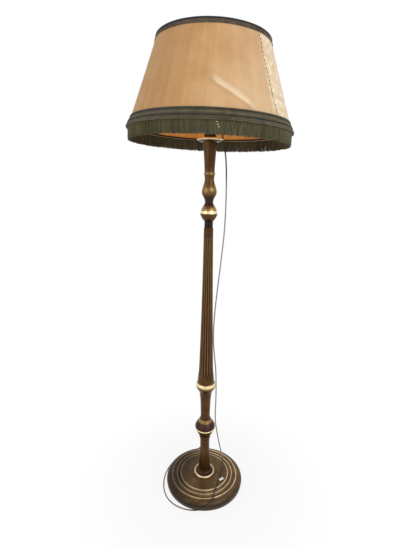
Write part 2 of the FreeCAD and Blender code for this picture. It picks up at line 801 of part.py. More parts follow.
def fitter_ring():
    """Wire ring that swings on the gimbal pins through two short bushes."""
    ring = wire_ring(FITTER_R, PIVOT_Z, WIRE_R)
    bushes = []
    for side in (-1, 1):
        inner = radial(GIMBAL_AZIMUTH, side * BUSH_START, PIVOT_Z)
        outer = radial(GIMBAL_AZIMUTH, side * (FITTER_R + 1), PIVOT_Z)
        bushes.append(rod(inner, outer, BUSH_R))
    bore = cross_rod(GIMBAL_AZIMUTH, GIMBAL_PIN_END + 0.4, PIVOT_Z, GIMBAL_PIN_R + RUNNING)
    return lean(ring.fuse(bushes).cut(bore))


def arm_rods(radius):
    """Rods along the arms' middle lines, from the fitter ring to the top ring."""
    rods = []
    for k in range(ARMS):
        azimuth = GIMBAL_AZIMUTH + 360 / ARMS * (k + 0.5)
        foot = radial(azimuth, FITTER_R, PIVOT_Z)
        head = radial(azimuth, frame_radius(TOP_RING_Z), TOP_RING_Z)
        rods.append(rod(foot, head, radius))
    return rods


def fitter_arms():
    """Wire arms that rise from the fitter ring to the shade's top ring."""
    rings = [wire_ring(FITTER_R, PIVOT_Z, WIRE_R), wire_ring(frame_radius(TOP_RING_Z), TOP_RING_Z, WIRE_R)]
    return lean(Part.makeCompound([arm.cut(rings) for arm in arm_rods(ARM_R)]))


def shade_top_ring():
    return lean(wire_ring(frame_radius(TOP_RING_Z), TOP_RING_Z, WIRE_R))


def shade_low_ring():
    return lean(wire_ring(frame_radius(LOW_RING_Z), LOW_RING_Z, WIRE_R))


def shade_struts():
    """Straight wires between the two rings, under the cover."""
    struts = []
    rings = [wire_ring(frame_radius(z), z, WIRE_R) for z in (TOP_RING_Z, LOW_RING_Z)]
    for k in range(STRUTS):
        azimuth = GIMBAL_AZIMUTH + 360 / STRUTS * (k + 0.5)
        low = radial(azimuth, frame_radius(LOW_RING_Z), LOW_RING_Z)
        high = radial(azimuth, frame_radius(TOP_RING_Z), TOP_RING_Z)
        struts.append(rod(low, high, STRUT_R).cut(rings))
    return lean(Part.makeCompound(struts))


def cone_shell(low, high, inset, thickness):
    """Conical band of fabric whose outer face lies inside the cover's outer face."""
    out_low = cover_radius(low) - inset
    out_high = cover_radius(high) - inset
    return turned((out_low, low), [
        (out_high, high),
        (out_high - thickness, high),
        (out_low - thickness, low),
    ])


def shade_cover():
    """Woven cloth, pulled straight between the two rings."""
    return lean(cone_shell(SHADE_LOW_Z, SHADE_TOP_Z - TRIM_T, 0, COVER_T))


def shade_lining():
    """Inner fabric, slit at the top where the arms pass."""
    inset = COVER_T + (2 * WIRE_R + COVER_GAP + LINING_GAP) * SLANT_STRETCH
    lining = cone_shell(SHADE_LOW_Z + 1, SHADE_TOP_Z - 4, inset, LINING_T)
    return lean(lining.cut(arm_rods(ARM_R + SLIP)))


def top_trim():
    """Woven band folded over the top edge, with a thin raised rib at both borders."""
    high = SHADE_TOP_Z
    low = high - TRIM_H
    skin = 0.1

    def at(z, out):
        return (cover_radius(z) + out, z)

    inner = cover_radius(high) - COVER_T - 0.2
    flap = inner - 0.8
    roof = high - TRIM_T + skin
    return lean(turned(at(low, skin), [
        (at(low + 1, TRIM_T + 0.4), at(low + 3, TRIM_T)),
        at(high - 3, TRIM_T),
        (at(high - 1.4, TRIM_T), at(high, 0)),
        (inner, high),
        (flap, high - 0.8),
        (flap, high - TRIM_FOLD),
        (inner, high - TRIM_FOLD),
        (inner, roof),
        at(roof, skin),
    ]))


def bottom_braid():
    """Heavy braid round the bottom: three ribs that grow to a full rolled edge."""
    low = SHADE_LOW_Z
    high = low + BRAID_H
    skin = 0.15
    hem = low - 0.2
    tuck = low - FRINGE_GAP + 0.2

    def at(z, out):
        return (cover_radius(z) + out, z)

    return lean(turned(at(high, skin), [
        at(hem, skin),
        at(hem, -COVER_T - 1),
        at(tuck, -COVER_T - 1),
        at(tuck, 2),
        (at(low + 2.5, BRAID_BULGE), at(low + 8.5, 4.6)),
        (at(low + 13, 5.2), at(low + 17, 2.6)),
        (at(low + 21, 3.4), at(high - 6, 1.9)),
        (at(high - 3, 2.8), at(high, 1)),
    ]))


def fringe():
    """The hanging threads as one ring: it bellies a little and thins out at its lower edge."""
    high = SHADE_LOW_Z - FRINGE_GAP
    low = high - FRINGE_L
    inner = COVER_LOW_R + 0.2
    outer = inner + FRINGE_T
    return lean(turned((outer, high), [
        [(outer + 0.8, high - 12), (outer - 0.8, low)],
        (inner, low),
        [(inner + 0.6, high - 12), (inner, high)],
    ]))


# ---------------------------------------------------------------- cord
# The route was chosen by hand from the photograph: out of the gland, past the drip pan, straight down
# beside the pole, over the base's mouldings, round the base on the floor, and back behind the pole.
CORD_ROUTE = [
    (41.6, 19.4, 1423.2), (45.5, 26.5, 1400.0), (51.5, 28.5, 1376.0), (56.5, 28.5, 1346.0),
    (59.5, 28.0, 1304.0), (61.0, 27.0, 1250.0), (61.5, 26.0, 1182.0), (59.5, 25.0, 1092.0),
    (50.0, 24.0, 982.0), (38.0, 23.0, 862.0), (29.5, 22.5, 764.0), (26.5, 23.0, 690.0),
    (28.0, 24.5, 630.0), (33.5, 27.5, 576.0), (39.5, 31.0, 526.0), (42.0, 33.0, 474.0),
    (43.5, 33.0, 424.0), (43.5, 33.0, 372.0), (42.5, 34.0, 322.0), (43.0, 36.0, 276.0),
    (48.5, 38.5, 232.0), (56.0, 42.0, 190.0), (63.0, 46.0, 152.0), (69.5, 49.0, 121.0),
    (75.0, 49.8, 95.0), (79.4, 47.6, 73.0), (81.2, 40.0, 59.0), (80.0, 26.5, 50.6),
    (76.0, 8.0, 50.2), (69.0, -14.0, 50.2), (61.5, -38.0, 50.2), (54.0, -71.0, 50.4),
    (46.0, -104.0, 51.0), (37.5, -136.0, 47.5), (25.5, -159.0, 39.5), (4.0, -171.5, 29.0),
    (-26.0, -170.0, 18.0), (-58.0, -160.5, 8.0), (-90.0, -148.0, 3.2), (-121.0, -131.0, 2.7),
    (-148.0, -105.0, 2.7), (-166.0, -69.0, 2.7), (-174.5, -28.0, 2.7), (-173.5, 16.0, 2.7),
    (-163.0, 59.0, 2.7), (-142.5, 100.0, 2.7), (-112.0, 135.0, 2.7), (-74.0, 161.0, 2.7),
    (-38.0, 179.0, 2.7), (-13.0, 205.0, 2.7), (-10.0, 242.0, 2.7), (-23.0, 275.0, 2.7),
    (-34.5, 308.0, 2.7),
]


def coil_point(turn):
    """Place and direction of the coil at a number of turns: in on the floor, up, and out on top."""
    middle = COIL_TURNS / 2
    radius = COIL_OUT_R - COIL_PITCH * (middle - abs(turn - middle))
    angle = math.pi - 2 * math.pi * turn
    z = CORD_Z if turn < middle else COIL_TOP_Z
    place = V(radius * math.cos(angle), COIL_Y + radius * math.sin(angle), z)
    grow = COIL_PITCH if turn > middle else -COIL_PITCH
    along = 2 * math.pi * radius
    outward = V(math.cos(angle), math.sin(angle), 0)
    forward = V(math.sin(angle), -math.cos(angle), 0)
    return place, (forward * along + outward * grow).normalize()


def arc_by_tangents(a, corner, b):
    """Arc from a to b whose end tangents meet at corner, which is as far from a as from b."""
    chord = (a + b) * 0.5
    height = corner - chord
    half = (b - a).Length / 2
    if height.Length < 1e-6:
        return Part.makeLine(a, b)
    turn = math.atan2(height.Length, half)
    mid = chord + height.normalize() * half * math.tan(turn / 2)
    return Part.Arc(a, mid, b).toShape()


def biarc(p0, t0, p1, t1):
    """Two tangent arcs between two places with given directions."""
    v = p1 - p0
    a = 2 * (t0.dot(t1) - 1)
    b = -2 * v.dot(t0 + t1)
    c = v.dot(v)
    if abs(a) < 1e-9:
        reach = -c / b
    else:
        root = math.sqrt(b * b - 4 * a * c)
        reach = max((-b - root) / (2 * a), (-b + root) / (2 * a))
    q0 = p0 + t0 * reach
    q1 = p1 - t1 * reach
    joint = (q0 + q1) * 0.5
    return [arc_by_tangents(p0, q0, joint), arc_by_tangents(joint, q1, p1)]


def rounded(points):
    """Straight runs joined by tangent arcs, each as large as its two runs allow."""
    share = 0.45
    edges = []
    radii = []
    at = points[0]
    for before, here, after in zip(points, points[1:], points[2:]):
        back = before - here
        on = after - here
        cut = share * min(back.Length, on.Length)
        radii.append(cut / math.tan((math.pi - back.getAngle(on)) / 2))
        start = here + back.normalize() * cut
        end = here + on.normalize() * cut
        edges.append(Part.makeLine(at, start))
        edges.append(arc_by_tangents(start, here, end))
        at = end
    edges.append(Part.makeLine(at, points[-1]))
    print("cord radii:", " ".join("%.0f" % r for r in radii))
    return edges


def tube(edges, start, way):
    """A round solid along the edges; its volume is set against section times length."""
    circle = Part.Wire(Part.makeCircle(CORD_R, start, way))
    solid = Part.Wire(edges).makePipeShell([circle], True, False)
    length = sum(edge.Length for edge in edges)
    share = solid.Volume / (math.pi * CORD_R ** 2 * length)
    print("tube length %.0f, volume over section times length %.4f" % (length, share))
    return solid


def cord():
    """The free stretch from the relief's tip to the coil."""
    start, way = cord_exit()
    points = [start] + [V(*place) for place in CORD_ROUTE] + [coil_point(0)[0]]
    return tube(rounded(points), start, points[1] - start)


def cord_coil():
    """The length put away: two layers of turns, then a short lead to the plug."""
    quarters = 4 * COIL_TURNS
    climb = 2 * COIL_TURNS
    stops = [k / 4 for k in range(quarters + 1) if k != climb]
    edges = []
    for a, b in zip(stops, stops[1:]):
        edges += biarc(*coil_point(a), *coil_point(b))
    end, way = coil_point(COIL_TURNS)
    clear = V(-30.5, COIL_Y + 28, COIL_TOP_Z)
    clear_way = V(0.42, 0.91, -0.04).normalize()
    target = V(PLUG_X, PLUG_START_Y - 2 * CORD_R, PLUG_Z)
    edges += biarc(end, way, clear, clear_way)
    edges += biarc(clear, clear_way, target, V(0, 1, 0))
    edges.append(Part.makeLine(target, V(PLUG_X, PLUG_START_Y, PLUG_Z)))
    print("coil: least gap to itself %.2f" % least_gap(edges))
    return tube(edges, *coil_point(0))


def least_gap(edges):
    """Smallest distance between the tube's skin and itself, past its near neighbours."""
    points = []
    walked = 0.0
    for edge in edges:
        count = max(2, int(edge.Length / 1.5))
        for point in edge.discretize(Number=count)[:-1]:
            points.append((walked, point))
            walked += edge.Length / (count - 1)
    apart = 8 * CORD_R
    least = min((p - q).Length for i, (s, p) in enumerate(points) for t, q in points[i + 1:] if t - s > apart)
    return least - 2 * CORD_R


def plug_body():
    """Flat two-pin plug: a moulded body with tapered shoulders and a ribbed strain relief."""
    along = V(0, 1, 0)
    neck_y = PLUG_START_Y + PLUG_RELIEF_L
    half = PLUG_W / 2
    neck = 7.0
    shoulder = 16.0
    chamfer = 1.5
    side = [(neck, neck_y), (half - 3, neck_y + 9), (half, neck_y + shoulder), (half, PLUG_FACE_Y - chamfer),
            (half - chamfer, PLUG_FACE_Y)]
    rim = side + [(-x, y) for x, y in reversed(side)] + side[:1]
    plate = Part.Face(Part.makePolygon([V(PLUG_X + x, y, PLUG_LIFT) for x, y in rim]))
    body = plate.extrude(V(0, 0, PLUG_T))
    flat = [e for e in body.Edges if abs(e.Vertexes[0].Z - e.Vertexes[-1].Z) < 1e-6]
    long = [e for e in flat if e.BoundBox.YMax < PLUG_FACE_Y - 0.5 and e.BoundBox.YLength > 5]
    body = body.makeFillet(3.0, long)
    relief_start = V(PLUG_X, PLUG_START_Y, PLUG_Z)
    relief = Part.makeCone(CORD_R + 0.9, PLUG_RELIEF_R, PLUG_RELIEF_L + 1, relief_start, along)
    groove_w = 1.1
    grooves = []
    for k in range(4):
        place = V(PLUG_X, PLUG_START_Y + 3.5 + 3.6 * k, PLUG_Z)
        core = Part.makeCylinder(CORD_R + 0.5 + 0.35 * k, groove_w, place, along)
        grooves.append(Part.makeCylinder(PLUG_RELIEF_R + 3, groove_w, place, along).cut(core))
    deep = PLUG_PIN_ROOT + RUNNING
    holes = [Part.makeCylinder(PLUG_PIN_ROOT_R + RUNNING, deep + 1, V(x, PLUG_FACE_Y - deep, PLUG_Z), along)
             for x in pin_places()]
    return body.fuse(relief.cut(grooves)).cut(holes)


def pin_places():
    return [PLUG_X - PLUG_PIN_SPACING / 2, PLUG_X + PLUG_PIN_SPACING / 2]


def plug_pins():
    along = V(0, 1, 0)
    tip = 1.2
    shank_l = PLUG_PIN_L - tip
    pins = []
    for x in pin_places():
        face = V(x, PLUG_FACE_Y, PLUG_Z)
        root = Part.makeCylinder(PLUG_PIN_ROOT_R, PLUG_PIN_ROOT, face - along * PLUG_PIN_ROOT, along)
        shank = Part.makeCylinder(PLUG_PIN_R, shank_l, face, along)
        end = Part.makeCone(PLUG_PIN_R, PLUG_PIN_R / 2, tip, face + along * shank_l, along)
        pins.append(root.fuse([shank, end]))
    return Part.makeCompound(pins)


# ---------------------------------------------------------------- output
NODES = [
    felt_pad, iron_weight, base_washer, base_nut, wooden_base, foot_ring,
    lower_turning, baluster_turning, fluted_column, knop_turning, vase_turning, neck_turning,
    drip_pan, candle_cup, central_tube, lock_washer, lock_nut,
    holder_cap, holder_barrel, holder_core, contact_plungers, plunger_springs, switch_bar,
    lower_clamp_ring, upper_clamp_ring, bulb_cap, bulb_glass, bulb_stem,
    gimbal_washer, fitter_ring, fitter_arms, shade_top_ring, shade_low_ring, shade_struts,
    shade_cover, shade_lining, top_trim, bottom_braid, fringe,
    flex_relief, cord, cord_coil, plug_body, plug_pins,
]

for make in NODES:
    save(make.__name__, make())
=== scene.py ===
import math
import random

import bpy
from mathutils import Matrix, Vector


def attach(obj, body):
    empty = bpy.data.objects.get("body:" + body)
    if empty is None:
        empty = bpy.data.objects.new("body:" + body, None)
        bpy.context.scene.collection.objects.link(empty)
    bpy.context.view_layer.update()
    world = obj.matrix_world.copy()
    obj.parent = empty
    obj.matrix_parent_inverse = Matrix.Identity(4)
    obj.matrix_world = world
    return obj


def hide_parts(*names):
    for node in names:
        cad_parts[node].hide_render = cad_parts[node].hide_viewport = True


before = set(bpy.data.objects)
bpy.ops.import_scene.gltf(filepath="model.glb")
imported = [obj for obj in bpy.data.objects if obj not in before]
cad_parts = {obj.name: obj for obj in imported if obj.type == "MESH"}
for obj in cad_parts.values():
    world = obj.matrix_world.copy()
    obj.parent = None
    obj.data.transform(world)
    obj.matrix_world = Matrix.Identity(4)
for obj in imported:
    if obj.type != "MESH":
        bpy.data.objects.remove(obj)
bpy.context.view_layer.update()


# ---------------------------------------------------------------- wooden base
# A turned wooden base with three raised rings, stained dark and then bronzed. The bronze is rubbed pale along the
# rings, which also carry a painted highlight, is worn in streaks round the outer roll, and is nearly black where the
# base meets its felt. The left side is painted darker: painted shade.
class Wire:
    """An output socket of a node tree. Arithmetic on it adds Math nodes to the same tree."""

    def __init__(self, tree, socket):
        self.tree = tree
        self.socket = socket

    def also(self, name):
        """Another output of the same node."""
        return Wire(self.tree, self.socket.node.outputs[name])

    def math(self, operation, *values):
        return self.tree.node("ShaderNodeMath", {"operation": operation}, dict(enumerate(values)))

    def __add__(self, other):
        return self.math("ADD", self, other)

    def __radd__(self, other):
        return self.math("ADD", other, self)

    def __sub__(self, other):
        return self.math("SUBTRACT", self, other)

    def __rsub__(self, other):
        return self.math("SUBTRACT", other, self)

    def __mul__(self, other):
        return self.math("MULTIPLY", self, other)

    def __rmul__(self, other):
        return self.math("MULTIPLY", other, self)

    def __truediv__(self, other):
        return self.math("DIVIDE", self, other)

    def __pow__(self, other):
        return self.math("POWER", self, other)


class Tree:
    """A shader or geometry tree in the making."""

    def __init__(self, nodes):
        self.nodes = nodes

    def node(self, kind, settings={}, inputs={}, out=0):
        """Adds a node: its settings first, then the values or links of its sockets; gives one output."""
        made = self.nodes.nodes.new(kind)
        for name, value in settings.items():
            if name == "stops":
                self.set_stops(made.color_ramp, value)
            else:
                setattr(made, name, value)
        for name, value in inputs.items():
            self.plug(made.inputs[name], value)
        return Wire(self, made.outputs[out]) if len(made.outputs) else made

    def set_stops(self, ramp, stops):
        while len(ramp.elements) < len(stops):
            ramp.elements.new(0.5)
        for element, (share, colour) in zip(ramp.elements, stops):
            element.position = share
            element.color = colour

    def plug(self, socket, value):
        if isinstance(value, Wire):
            self.nodes.links.new(value.socket, socket)
        elif socket.type == "RGBA":
            socket.default_value = (*value[:3], 1)
        else:
            socket.default_value = value

    def blend(self, share, under, over):
        """A colour between two, by a share from 0 to 1."""
        return self.node("ShaderNodeMix", {"data_type": "RGBA"}, {0: share, 6: under, 7: over}, 2)

    def shaded(self, colour, factor):
        """A colour made lighter or darker by a factor."""
        return self.node("ShaderNodeVectorMath", {"operation": "SCALE"}, {0: colour, "Scale": factor})

    def noise(self, place, scale, detail=3.0, roughness=0.55):
        return self.node("ShaderNodeTexNoise", {}, {"Vector": place, "Scale": scale, "Detail": detail,
                                                    "Roughness": roughness}, "Fac")

    def ease(self, value, low, high):
        """0 below low, 1 above high and smooth between them."""
        settings = {"interpolation_type": "SMOOTHSTEP"}
        return self.node("ShaderNodeMapRange", settings, {"Value": value, "From Min": low, "From Max": high})

    def vector(self, x, y, z):
        return self.node("ShaderNodeCombineXYZ", {}, {0: x, 1: y, 2: z})


class Finish(Tree):
    """A material in the making, with the place on the piece and its distance from the pole's axis."""

    def __init__(self, name):
        self.material = bpy.data.materials.new(name)
        self.material.use_nodes = True
        super().__init__(self.material.node_tree)
        self.place = self.node("ShaderNodeTexCoord", {}, {}, "Object")
        self.x = self.node("ShaderNodeSeparateXYZ", {}, {0: self.place}, "X")
        self.y = self.x.also("Y")
        self.z = self.x.also("Z")
        self.radius = (self.x * self.x + self.y * self.y) ** 0.5
        self.azimuth = self.y.math("ARCTAN2", self.y, self.x)

    def surface(self, values):
        """Sets or links the sockets of the surface shader and gives the material."""
        for name, value in values.items():
            self.plug(self.nodes.nodes["Principled BSDF"].inputs[name], value)
        return self.material

    def bump(self, height, distance, strength=1.0):
        return self.node("ShaderNodeBump", {}, {"Height": height, "Distance": distance, "Strength": strength})


def tint(red, green, blue):
    """A colour as a picture writes it, from 0 to 255, in linear light."""
    return tuple((c / 255) ** 2.2 for c in (red, green, blue))


def dress(material, *nodes):
    for name in nodes:
        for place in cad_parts[name].material_slots:
            place.material = material


def meshed(name, points, faces, material, smooth=False):
    """A new object from points and faces, in one material."""
    mesh = bpy.data.meshes.new(name)
    mesh.from_pydata(points, [], faces)
    mesh.materials.append(material)
    if smooth:
        mesh.shade_smooth()
    piece = bpy.data.objects.new(name, mesh)
    bpy.context.collection.objects.link(piece)
    return piece


def bronzed(finish, along, stops, streaks, wear=1.0, stain_and_shade=None, ridge=None):
    """Bronze paint rubbed over a dark stain. A stop is (share of the way, its paint).
    The dark mask darkens carved places, where the stain has gathered, and also takes painted shade; the ridge mask
    marks where the gilt is rubbed bright."""
    ramp = [(share, (*tint(*colour), gilt)) for share, (colour, gilt) in stops]
    tone = finish.node("ShaderNodeValToRGB", {"stops": ramp}, {0: along})
    gilt = tone.also("Alpha")
    blotch = finish.noise(finish.place, 31.0, 4.0)
    pitting = finish.noise(finish.place, 620.0, 2.0)
    streak = finish.noise(streaks, 1.0, 5.0, 0.62)
    level = 1.0 + wear * ((blotch - 0.5) * 0.9 + (streak - 0.5) * 1.1)
    worn = finish.ease(streak + (blotch - 0.5) * 0.6, 0.56, 0.72)
    dark = finish.blend(finish.ease(blotch, 0.35, 0.62), tint(52, 27, 14), tone)
    colour = finish.shaded(finish.blend(0.62 + 0.38 * gilt, dark, tone), level)
    colour = finish.blend(worn * (0.24 * wear), colour, tint(164, 128, 78))
    if stain_and_shade:
        # The dark mask paints stain in hollows and, where given, painted shade.
        colour = finish.blend(stain_and_shade * 0.75, colour, tint(36, 23, 13))
    if ridge:
        colour = finish.blend(ridge * (0.15 + 0.9 * streak), colour, tint(150, 110, 58))
    return finish.surface({
        "Base Color": colour,
        "Metallic": 0.42 + 0.45 * gilt,
        "Roughness": 0.43 - 0.17 * gilt + (pitting - 0.5) * 0.20 + (streak - 0.5) * 0.16,
        "Specular IOR Level": 0.25,
        "Coat Weight": 0.03 + 0.06 * blotch,
        "Coat Roughness": 0.25,
        "Normal": finish.bump(pitting * 0.35 + streak * 0.65, 0.0005, 0.55),
    })


# The paints of the base: (colour, how bright the gilt is).
WAX_DARK = ((58, 46, 32), 0.12)
WAX_BRONZE = ((105, 82, 52), 0.40)
# Pale gilt on the crests of the rings and on the foot ring: partly gilt rubbed bright, partly a painted highlight.
RUBBED_GILT_AND_HIGHLIGHT = ((220, 194, 156), 0.88)
BASE_R = 0.161
base_paint = Finish("bronzed base")
base_along = base_paint.radius / BASE_R
base_streaks = base_paint.vector(base_paint.radius * 900.0, base_paint.azimuth * 2.2, base_paint.z * 260.0)
BASE_STOPS = [
    (0.00, WAX_DARK), (0.40, WAX_BRONZE), (0.605, WAX_BRONZE), (0.627, RUBBED_GILT_AND_HIGHLIGHT), (0.65, WAX_BRONZE),
    (0.705, WAX_BRONZE), (0.727, RUBBED_GILT_AND_HIGHLIGHT), (0.75, WAX_BRONZE), (0.82, WAX_BRONZE), (0.845, RUBBED_GILT_AND_HIGHLIGHT),
    (0.87, WAX_BRONZE), (1.00, WAX_DARK),
]
# Painted shade: the left side of the base is painted darker, where shade falls on it.
# The left side is painted darker to match the photograph, where it may be only shade.
left_side_painted_shade = base_paint.ease(0.0 - base_paint.x + base_paint.y * 0.2, -0.01, 0.10) * 0.98
dress(bronzed(base_paint, base_along, BASE_STOPS, base_streaks, 0.8, left_side_painted_shade), "wooden_base")

ring_paint = Finish("bright gilt")
ring_streaks = ring_paint.vector(ring_paint.radius * 700.0, ring_paint.azimuth * 3.0, ring_paint.z * 500.0)
RING_STOPS = [(0.0, WAX_DARK), (0.55, WAX_BRONZE), (0.90, RUBBED_GILT_AND_HIGHLIGHT)]
dress(bronzed(ring_paint, (ring_paint.radius - 0.020) / 0.024, RING_STOPS, ring_streaks, 0.45), "foot_ring")

felt = Finish("green felt")
felt_fibre = felt.noise(felt.place, 900.0, 4.0)
felt_wool = felt.surface({
    "Base Color": felt.blend(felt_fibre, tint(28, 40, 24), tint(60, 74, 48)),
    "Roughness": 0.82 + 0.14 * felt_fibre,
    "Sheen Weight": 0.3,
    "Normal": felt.bump(felt_fibre, 0.0006),
})
FELT_R = 0.154
FELT_T = 0.0019
FELT_RINGS = 12
FELT_COLUMNS = 240
felt_points = [(0.0, 0.0, FELT_T)]
for ring in range(1, FELT_RINGS + 1):
    for column in range(FELT_COLUMNS):
        azimuth = 2.0 * math.pi * column / FELT_COLUMNS
        ragged = 0.0004 * math.sin(azimuth * 37.0) * math.sin(azimuth * 23.0) if ring == FELT_RINGS else 0.0
        radius = FELT_R * ring / FELT_RINGS + ragged
        felt_points.append((radius * math.cos(azimuth), radius * math.sin(azimuth), FELT_T))
felt_faces = [(0, 1 + column, 1 + (column + 1) % FELT_COLUMNS) for column in range(FELT_COLUMNS)]
for ring in range(FELT_RINGS - 1):
    inner = 1 + ring * FELT_COLUMNS
    outer = inner + FELT_COLUMNS
    for column in range(FELT_COLUMNS):
        after = (column + 1) % FELT_COLUMNS
        felt_faces.append((inner + column, outer + column, outer + after, inner + after))
felt_disc = meshed("felt_disc", felt_points, felt_faces, felt_wool)
felt_wall = felt_disc.modifiers.new("felt", "SOLIDIFY")
felt_wall.thickness = FELT_T
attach(felt_disc, "stand")
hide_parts("felt_pad")


# ---------------------------------------------------------------- turned pole
# Six turned lengths, stacked on a steel tube. All have the base's bronze over stain, with bands picked
# out in bright gilt, in oxblood and in black; the bands are given by their height above the floor.
def pole_paint(name, bands, wear=1.0):
    """Paint that changes with height. A stop is (height in millimetres, its paint)."""
    paint = Finish(name)
    low = bands[0][0]
    high = bands[-1][0]
    stops = [((height - low) / (high - low), paint) for height, paint in bands]
    grain = paint.vector(paint.x * 420.0, paint.y * 420.0, paint.z * 9.0)
    return paint, (paint.z * 1000.0 - low) / (high - low), stops, grain, wear


# The paints of the pole: (colour, how bright the gilt is). Each painted band has a stop at both of its ends.
BLACK = ((16, 12, 12), 0.05)
OXBLOOD = ((58, 38, 36), 0.12)
DARK_BRONZE = ((58, 38, 18), 0.35)
BRONZE = ((82, 56, 26), 0.40)
DULL_GOLD = ((150, 120, 76), 0.70)
GILT = ((248, 224, 168), 1.0)
LOWER_BANDS = [
    (47, DARK_BRONZE), (150, BRONZE), (266, BRONZE), (267, GILT), (270.5, GILT), (272, DARK_BRONZE), (277, OXBLOOD),
    (298, OXBLOOD), (303, DULL_GOLD), (311, DULL_GOLD),
]
BALUSTER_BANDS = [
    (311, BRONZE), (460, BRONZE), (466, DULL_GOLD), (472, GILT), (478, GILT), (481, BRONZE), (490, BRONZE),
]
KNOP_BANDS = [
    (1098, BRONZE), (1104, BRONZE), (1105, BLACK), (1131, BLACK), (1136, BRONZE), (1152, BRONZE), (1156, GILT),
    (1160, GILT), (1165, DULL_GOLD), (1175, DULL_GOLD), (1184, OXBLOOD), (1193, OXBLOOD),
]
VASE_BANDS = [
    (1193, OXBLOOD), (1209, OXBLOOD), (1215, BRONZE), (1240, DULL_GOLD), (1262, BRONZE), (1286, BRONZE),
    (1288, DULL_GOLD), (1290, DULL_GOLD),
]
NECK_BANDS = [
    (1290, DULL_GOLD), (1294, DULL_GOLD), (1296, BRONZE), (1393, BRONZE),
]
# The pan's rim is gilt painted as bright as a highlight: partly real gilt, partly a painted highlight.
PAN_BANDS = [
    (1393, BRONZE), (1399, BRONZE), (1401, GILT), (1405, GILT),
]
# The dull gold at the foot of the cup, just above the pan's rim, is a painted highlight.
CUP_BANDS = [
    (1401, DULL_GOLD), (1409, DULL_GOLD), (1413, BRONZE), (1436.6, BRONZE),
]
MILLIMETRE = 0.001


def turned_piece(name, columns, outline, material):
    """A turned solid: its outline goes up from the axis's foot to its head, as (radius, height) in millimetres."""
    points = [(0.0, 0.0, outline[0][1]), (0.0, 0.0, outline[-1][1])]
    for radius, height in outline:
        for column in range(columns):
            azimuth = 2.0 * math.pi * column / columns
            points.append((radius * math.cos(azimuth), radius * math.sin(azimuth), height))
    faces = []
    last = 2 + (len(outline) - 1) * columns
    for column in range(columns):
        after = (column + 1) % columns
        faces.append((0, 2 + after, 2 + column))
        faces.append((1, last + column, last + after))
        for row in range(len(outline) - 1):
            here = 2 + row * columns
            faces.append((here + column, here + after, here + columns + after, here + columns + column))
    return meshed(name, [[x * MILLIMETRE for x in point] for point in points], faces, material, True)


def eased_outline(marks, step=1.0):
    """A smooth outline through the marks; a mark that is given twice is a corner."""
    runs = [[marks[0]]]
    for mark in marks[1:]:
        if mark == runs[-1][-1]:
            runs.append([mark])
        else:
            runs[-1].append(mark)
    outline = []
    for run in runs:
        for k in range(len(run) - 1):
            a, b = Vector(run[k]), Vector(run[k + 1])
            before = Vector(run[k - 1]) if k > 0 else a - (b - a)
            beyond = Vector(run[k + 2]) if k + 2 < len(run) else b + (b - a)
            pieces = max(1, int((b - a).length / step))
            for part in range(pieces):
                s = part / pieces
                bend = (2 * before - 5 * a + 4 * b - beyond) * s ** 2 + (3 * a - before - 3 * b + beyond) * s ** 3
                outline.append(tuple(0.5 * (2 * a + (b - before) * s + bend)))
    outline.append(marks[-1])
    return outline


# The lower turning, from its foot ring up over the knop with its gilt bead: (radius, height) in millimetres.
LOWER_MARKS = [
    (26.6, 47.2), (26.6, 52.4), (26.6, 52.4), (31.4, 52.4), (31.4, 52.4), (33.1, 56.4), (31.4, 60.4), (31.4, 60.4),
    (28.0, 62.6), (25.2, 69.4), (22.6, 105.0), (20.4, 145.0), (19.3, 185.0), (19.8, 212.0), (20.4, 219.0),
    (20.4, 219.0), (22.4, 222.4), (22.4, 226.0), (21.2, 229.0), (21.2, 229.0), (26.0, 238.0), (32.2, 249.0),
    (37.0, 259.5), (38.8, 265.0), (38.8, 265.0), (40.5, 266.4), (40.9, 268.2), (40.3, 270.2), (39.4, 271.4),
    (39.4, 271.4), (41.1, 274.6), (40.6, 280.0), (36.6, 289.0), (30.4, 298.0), (26.4, 302.6), (24.4, 304.0),
    (24.4, 304.0), (25.2, 307.5), (23.6, 311.0),
]
lower_paint = bronzed(*pole_paint("lower_turning", LOWER_BANDS, 0.7))
lower_stem = turned_piece("lower_stem", 160, eased_outline(LOWER_MARKS), lower_paint)
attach(lower_stem, "stand")
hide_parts("lower_turning")
for node, bands, wear in (
        ("baluster_turning", BALUSTER_BANDS, 0.7), ("knop_turning", KNOP_BANDS, 0.5),
        ("vase_turning", VASE_BANDS, 0.7), ("neck_turning", NECK_BANDS, 0.8),
        ("drip_pan", PAN_BANDS, 0.4), ("candle_cup", CUP_BANDS, 1.3)):
    dress(bronzed(*pole_paint(node, bands, wear)), node)


# ---------------------------------------------------------------- fluted column
# The tapering column has sixteen flutes. The bronze is rubbed through to pale gold on the ridges between
# them, and the stain lies dark in the flutes; the column is darkest from 540 to 760 mm and lighter towards its ends.
FLUTES = 16
COLUMN_BANDS = [
    (490, BRONZE), (540, DARK_BRONZE), (760, DARK_BRONZE), (1098, BRONZE),
]
column, column_along, column_stops, column_grain, column_wear = pole_paint("fluted column", COLUMN_BANDS, 0.8)
flute_phase = column.azimuth * FLUTES
flute_wave = flute_phase.math("COSINE", flute_phase)
between_ends = column.ease(column.z, 0.520, 0.536) * (1.0 - column.ease(column.z, 1.064, 1.078))
in_flute = column.ease(flute_wave, -0.10, 0.65) * between_ends
on_ridge = column.ease(0.0 - flute_wave, 0.15, 0.80) * between_ends
dress(bronzed(column, column_along, column_stops, column_grain, column_wear, in_flute, on_ridge), "fluted_column")


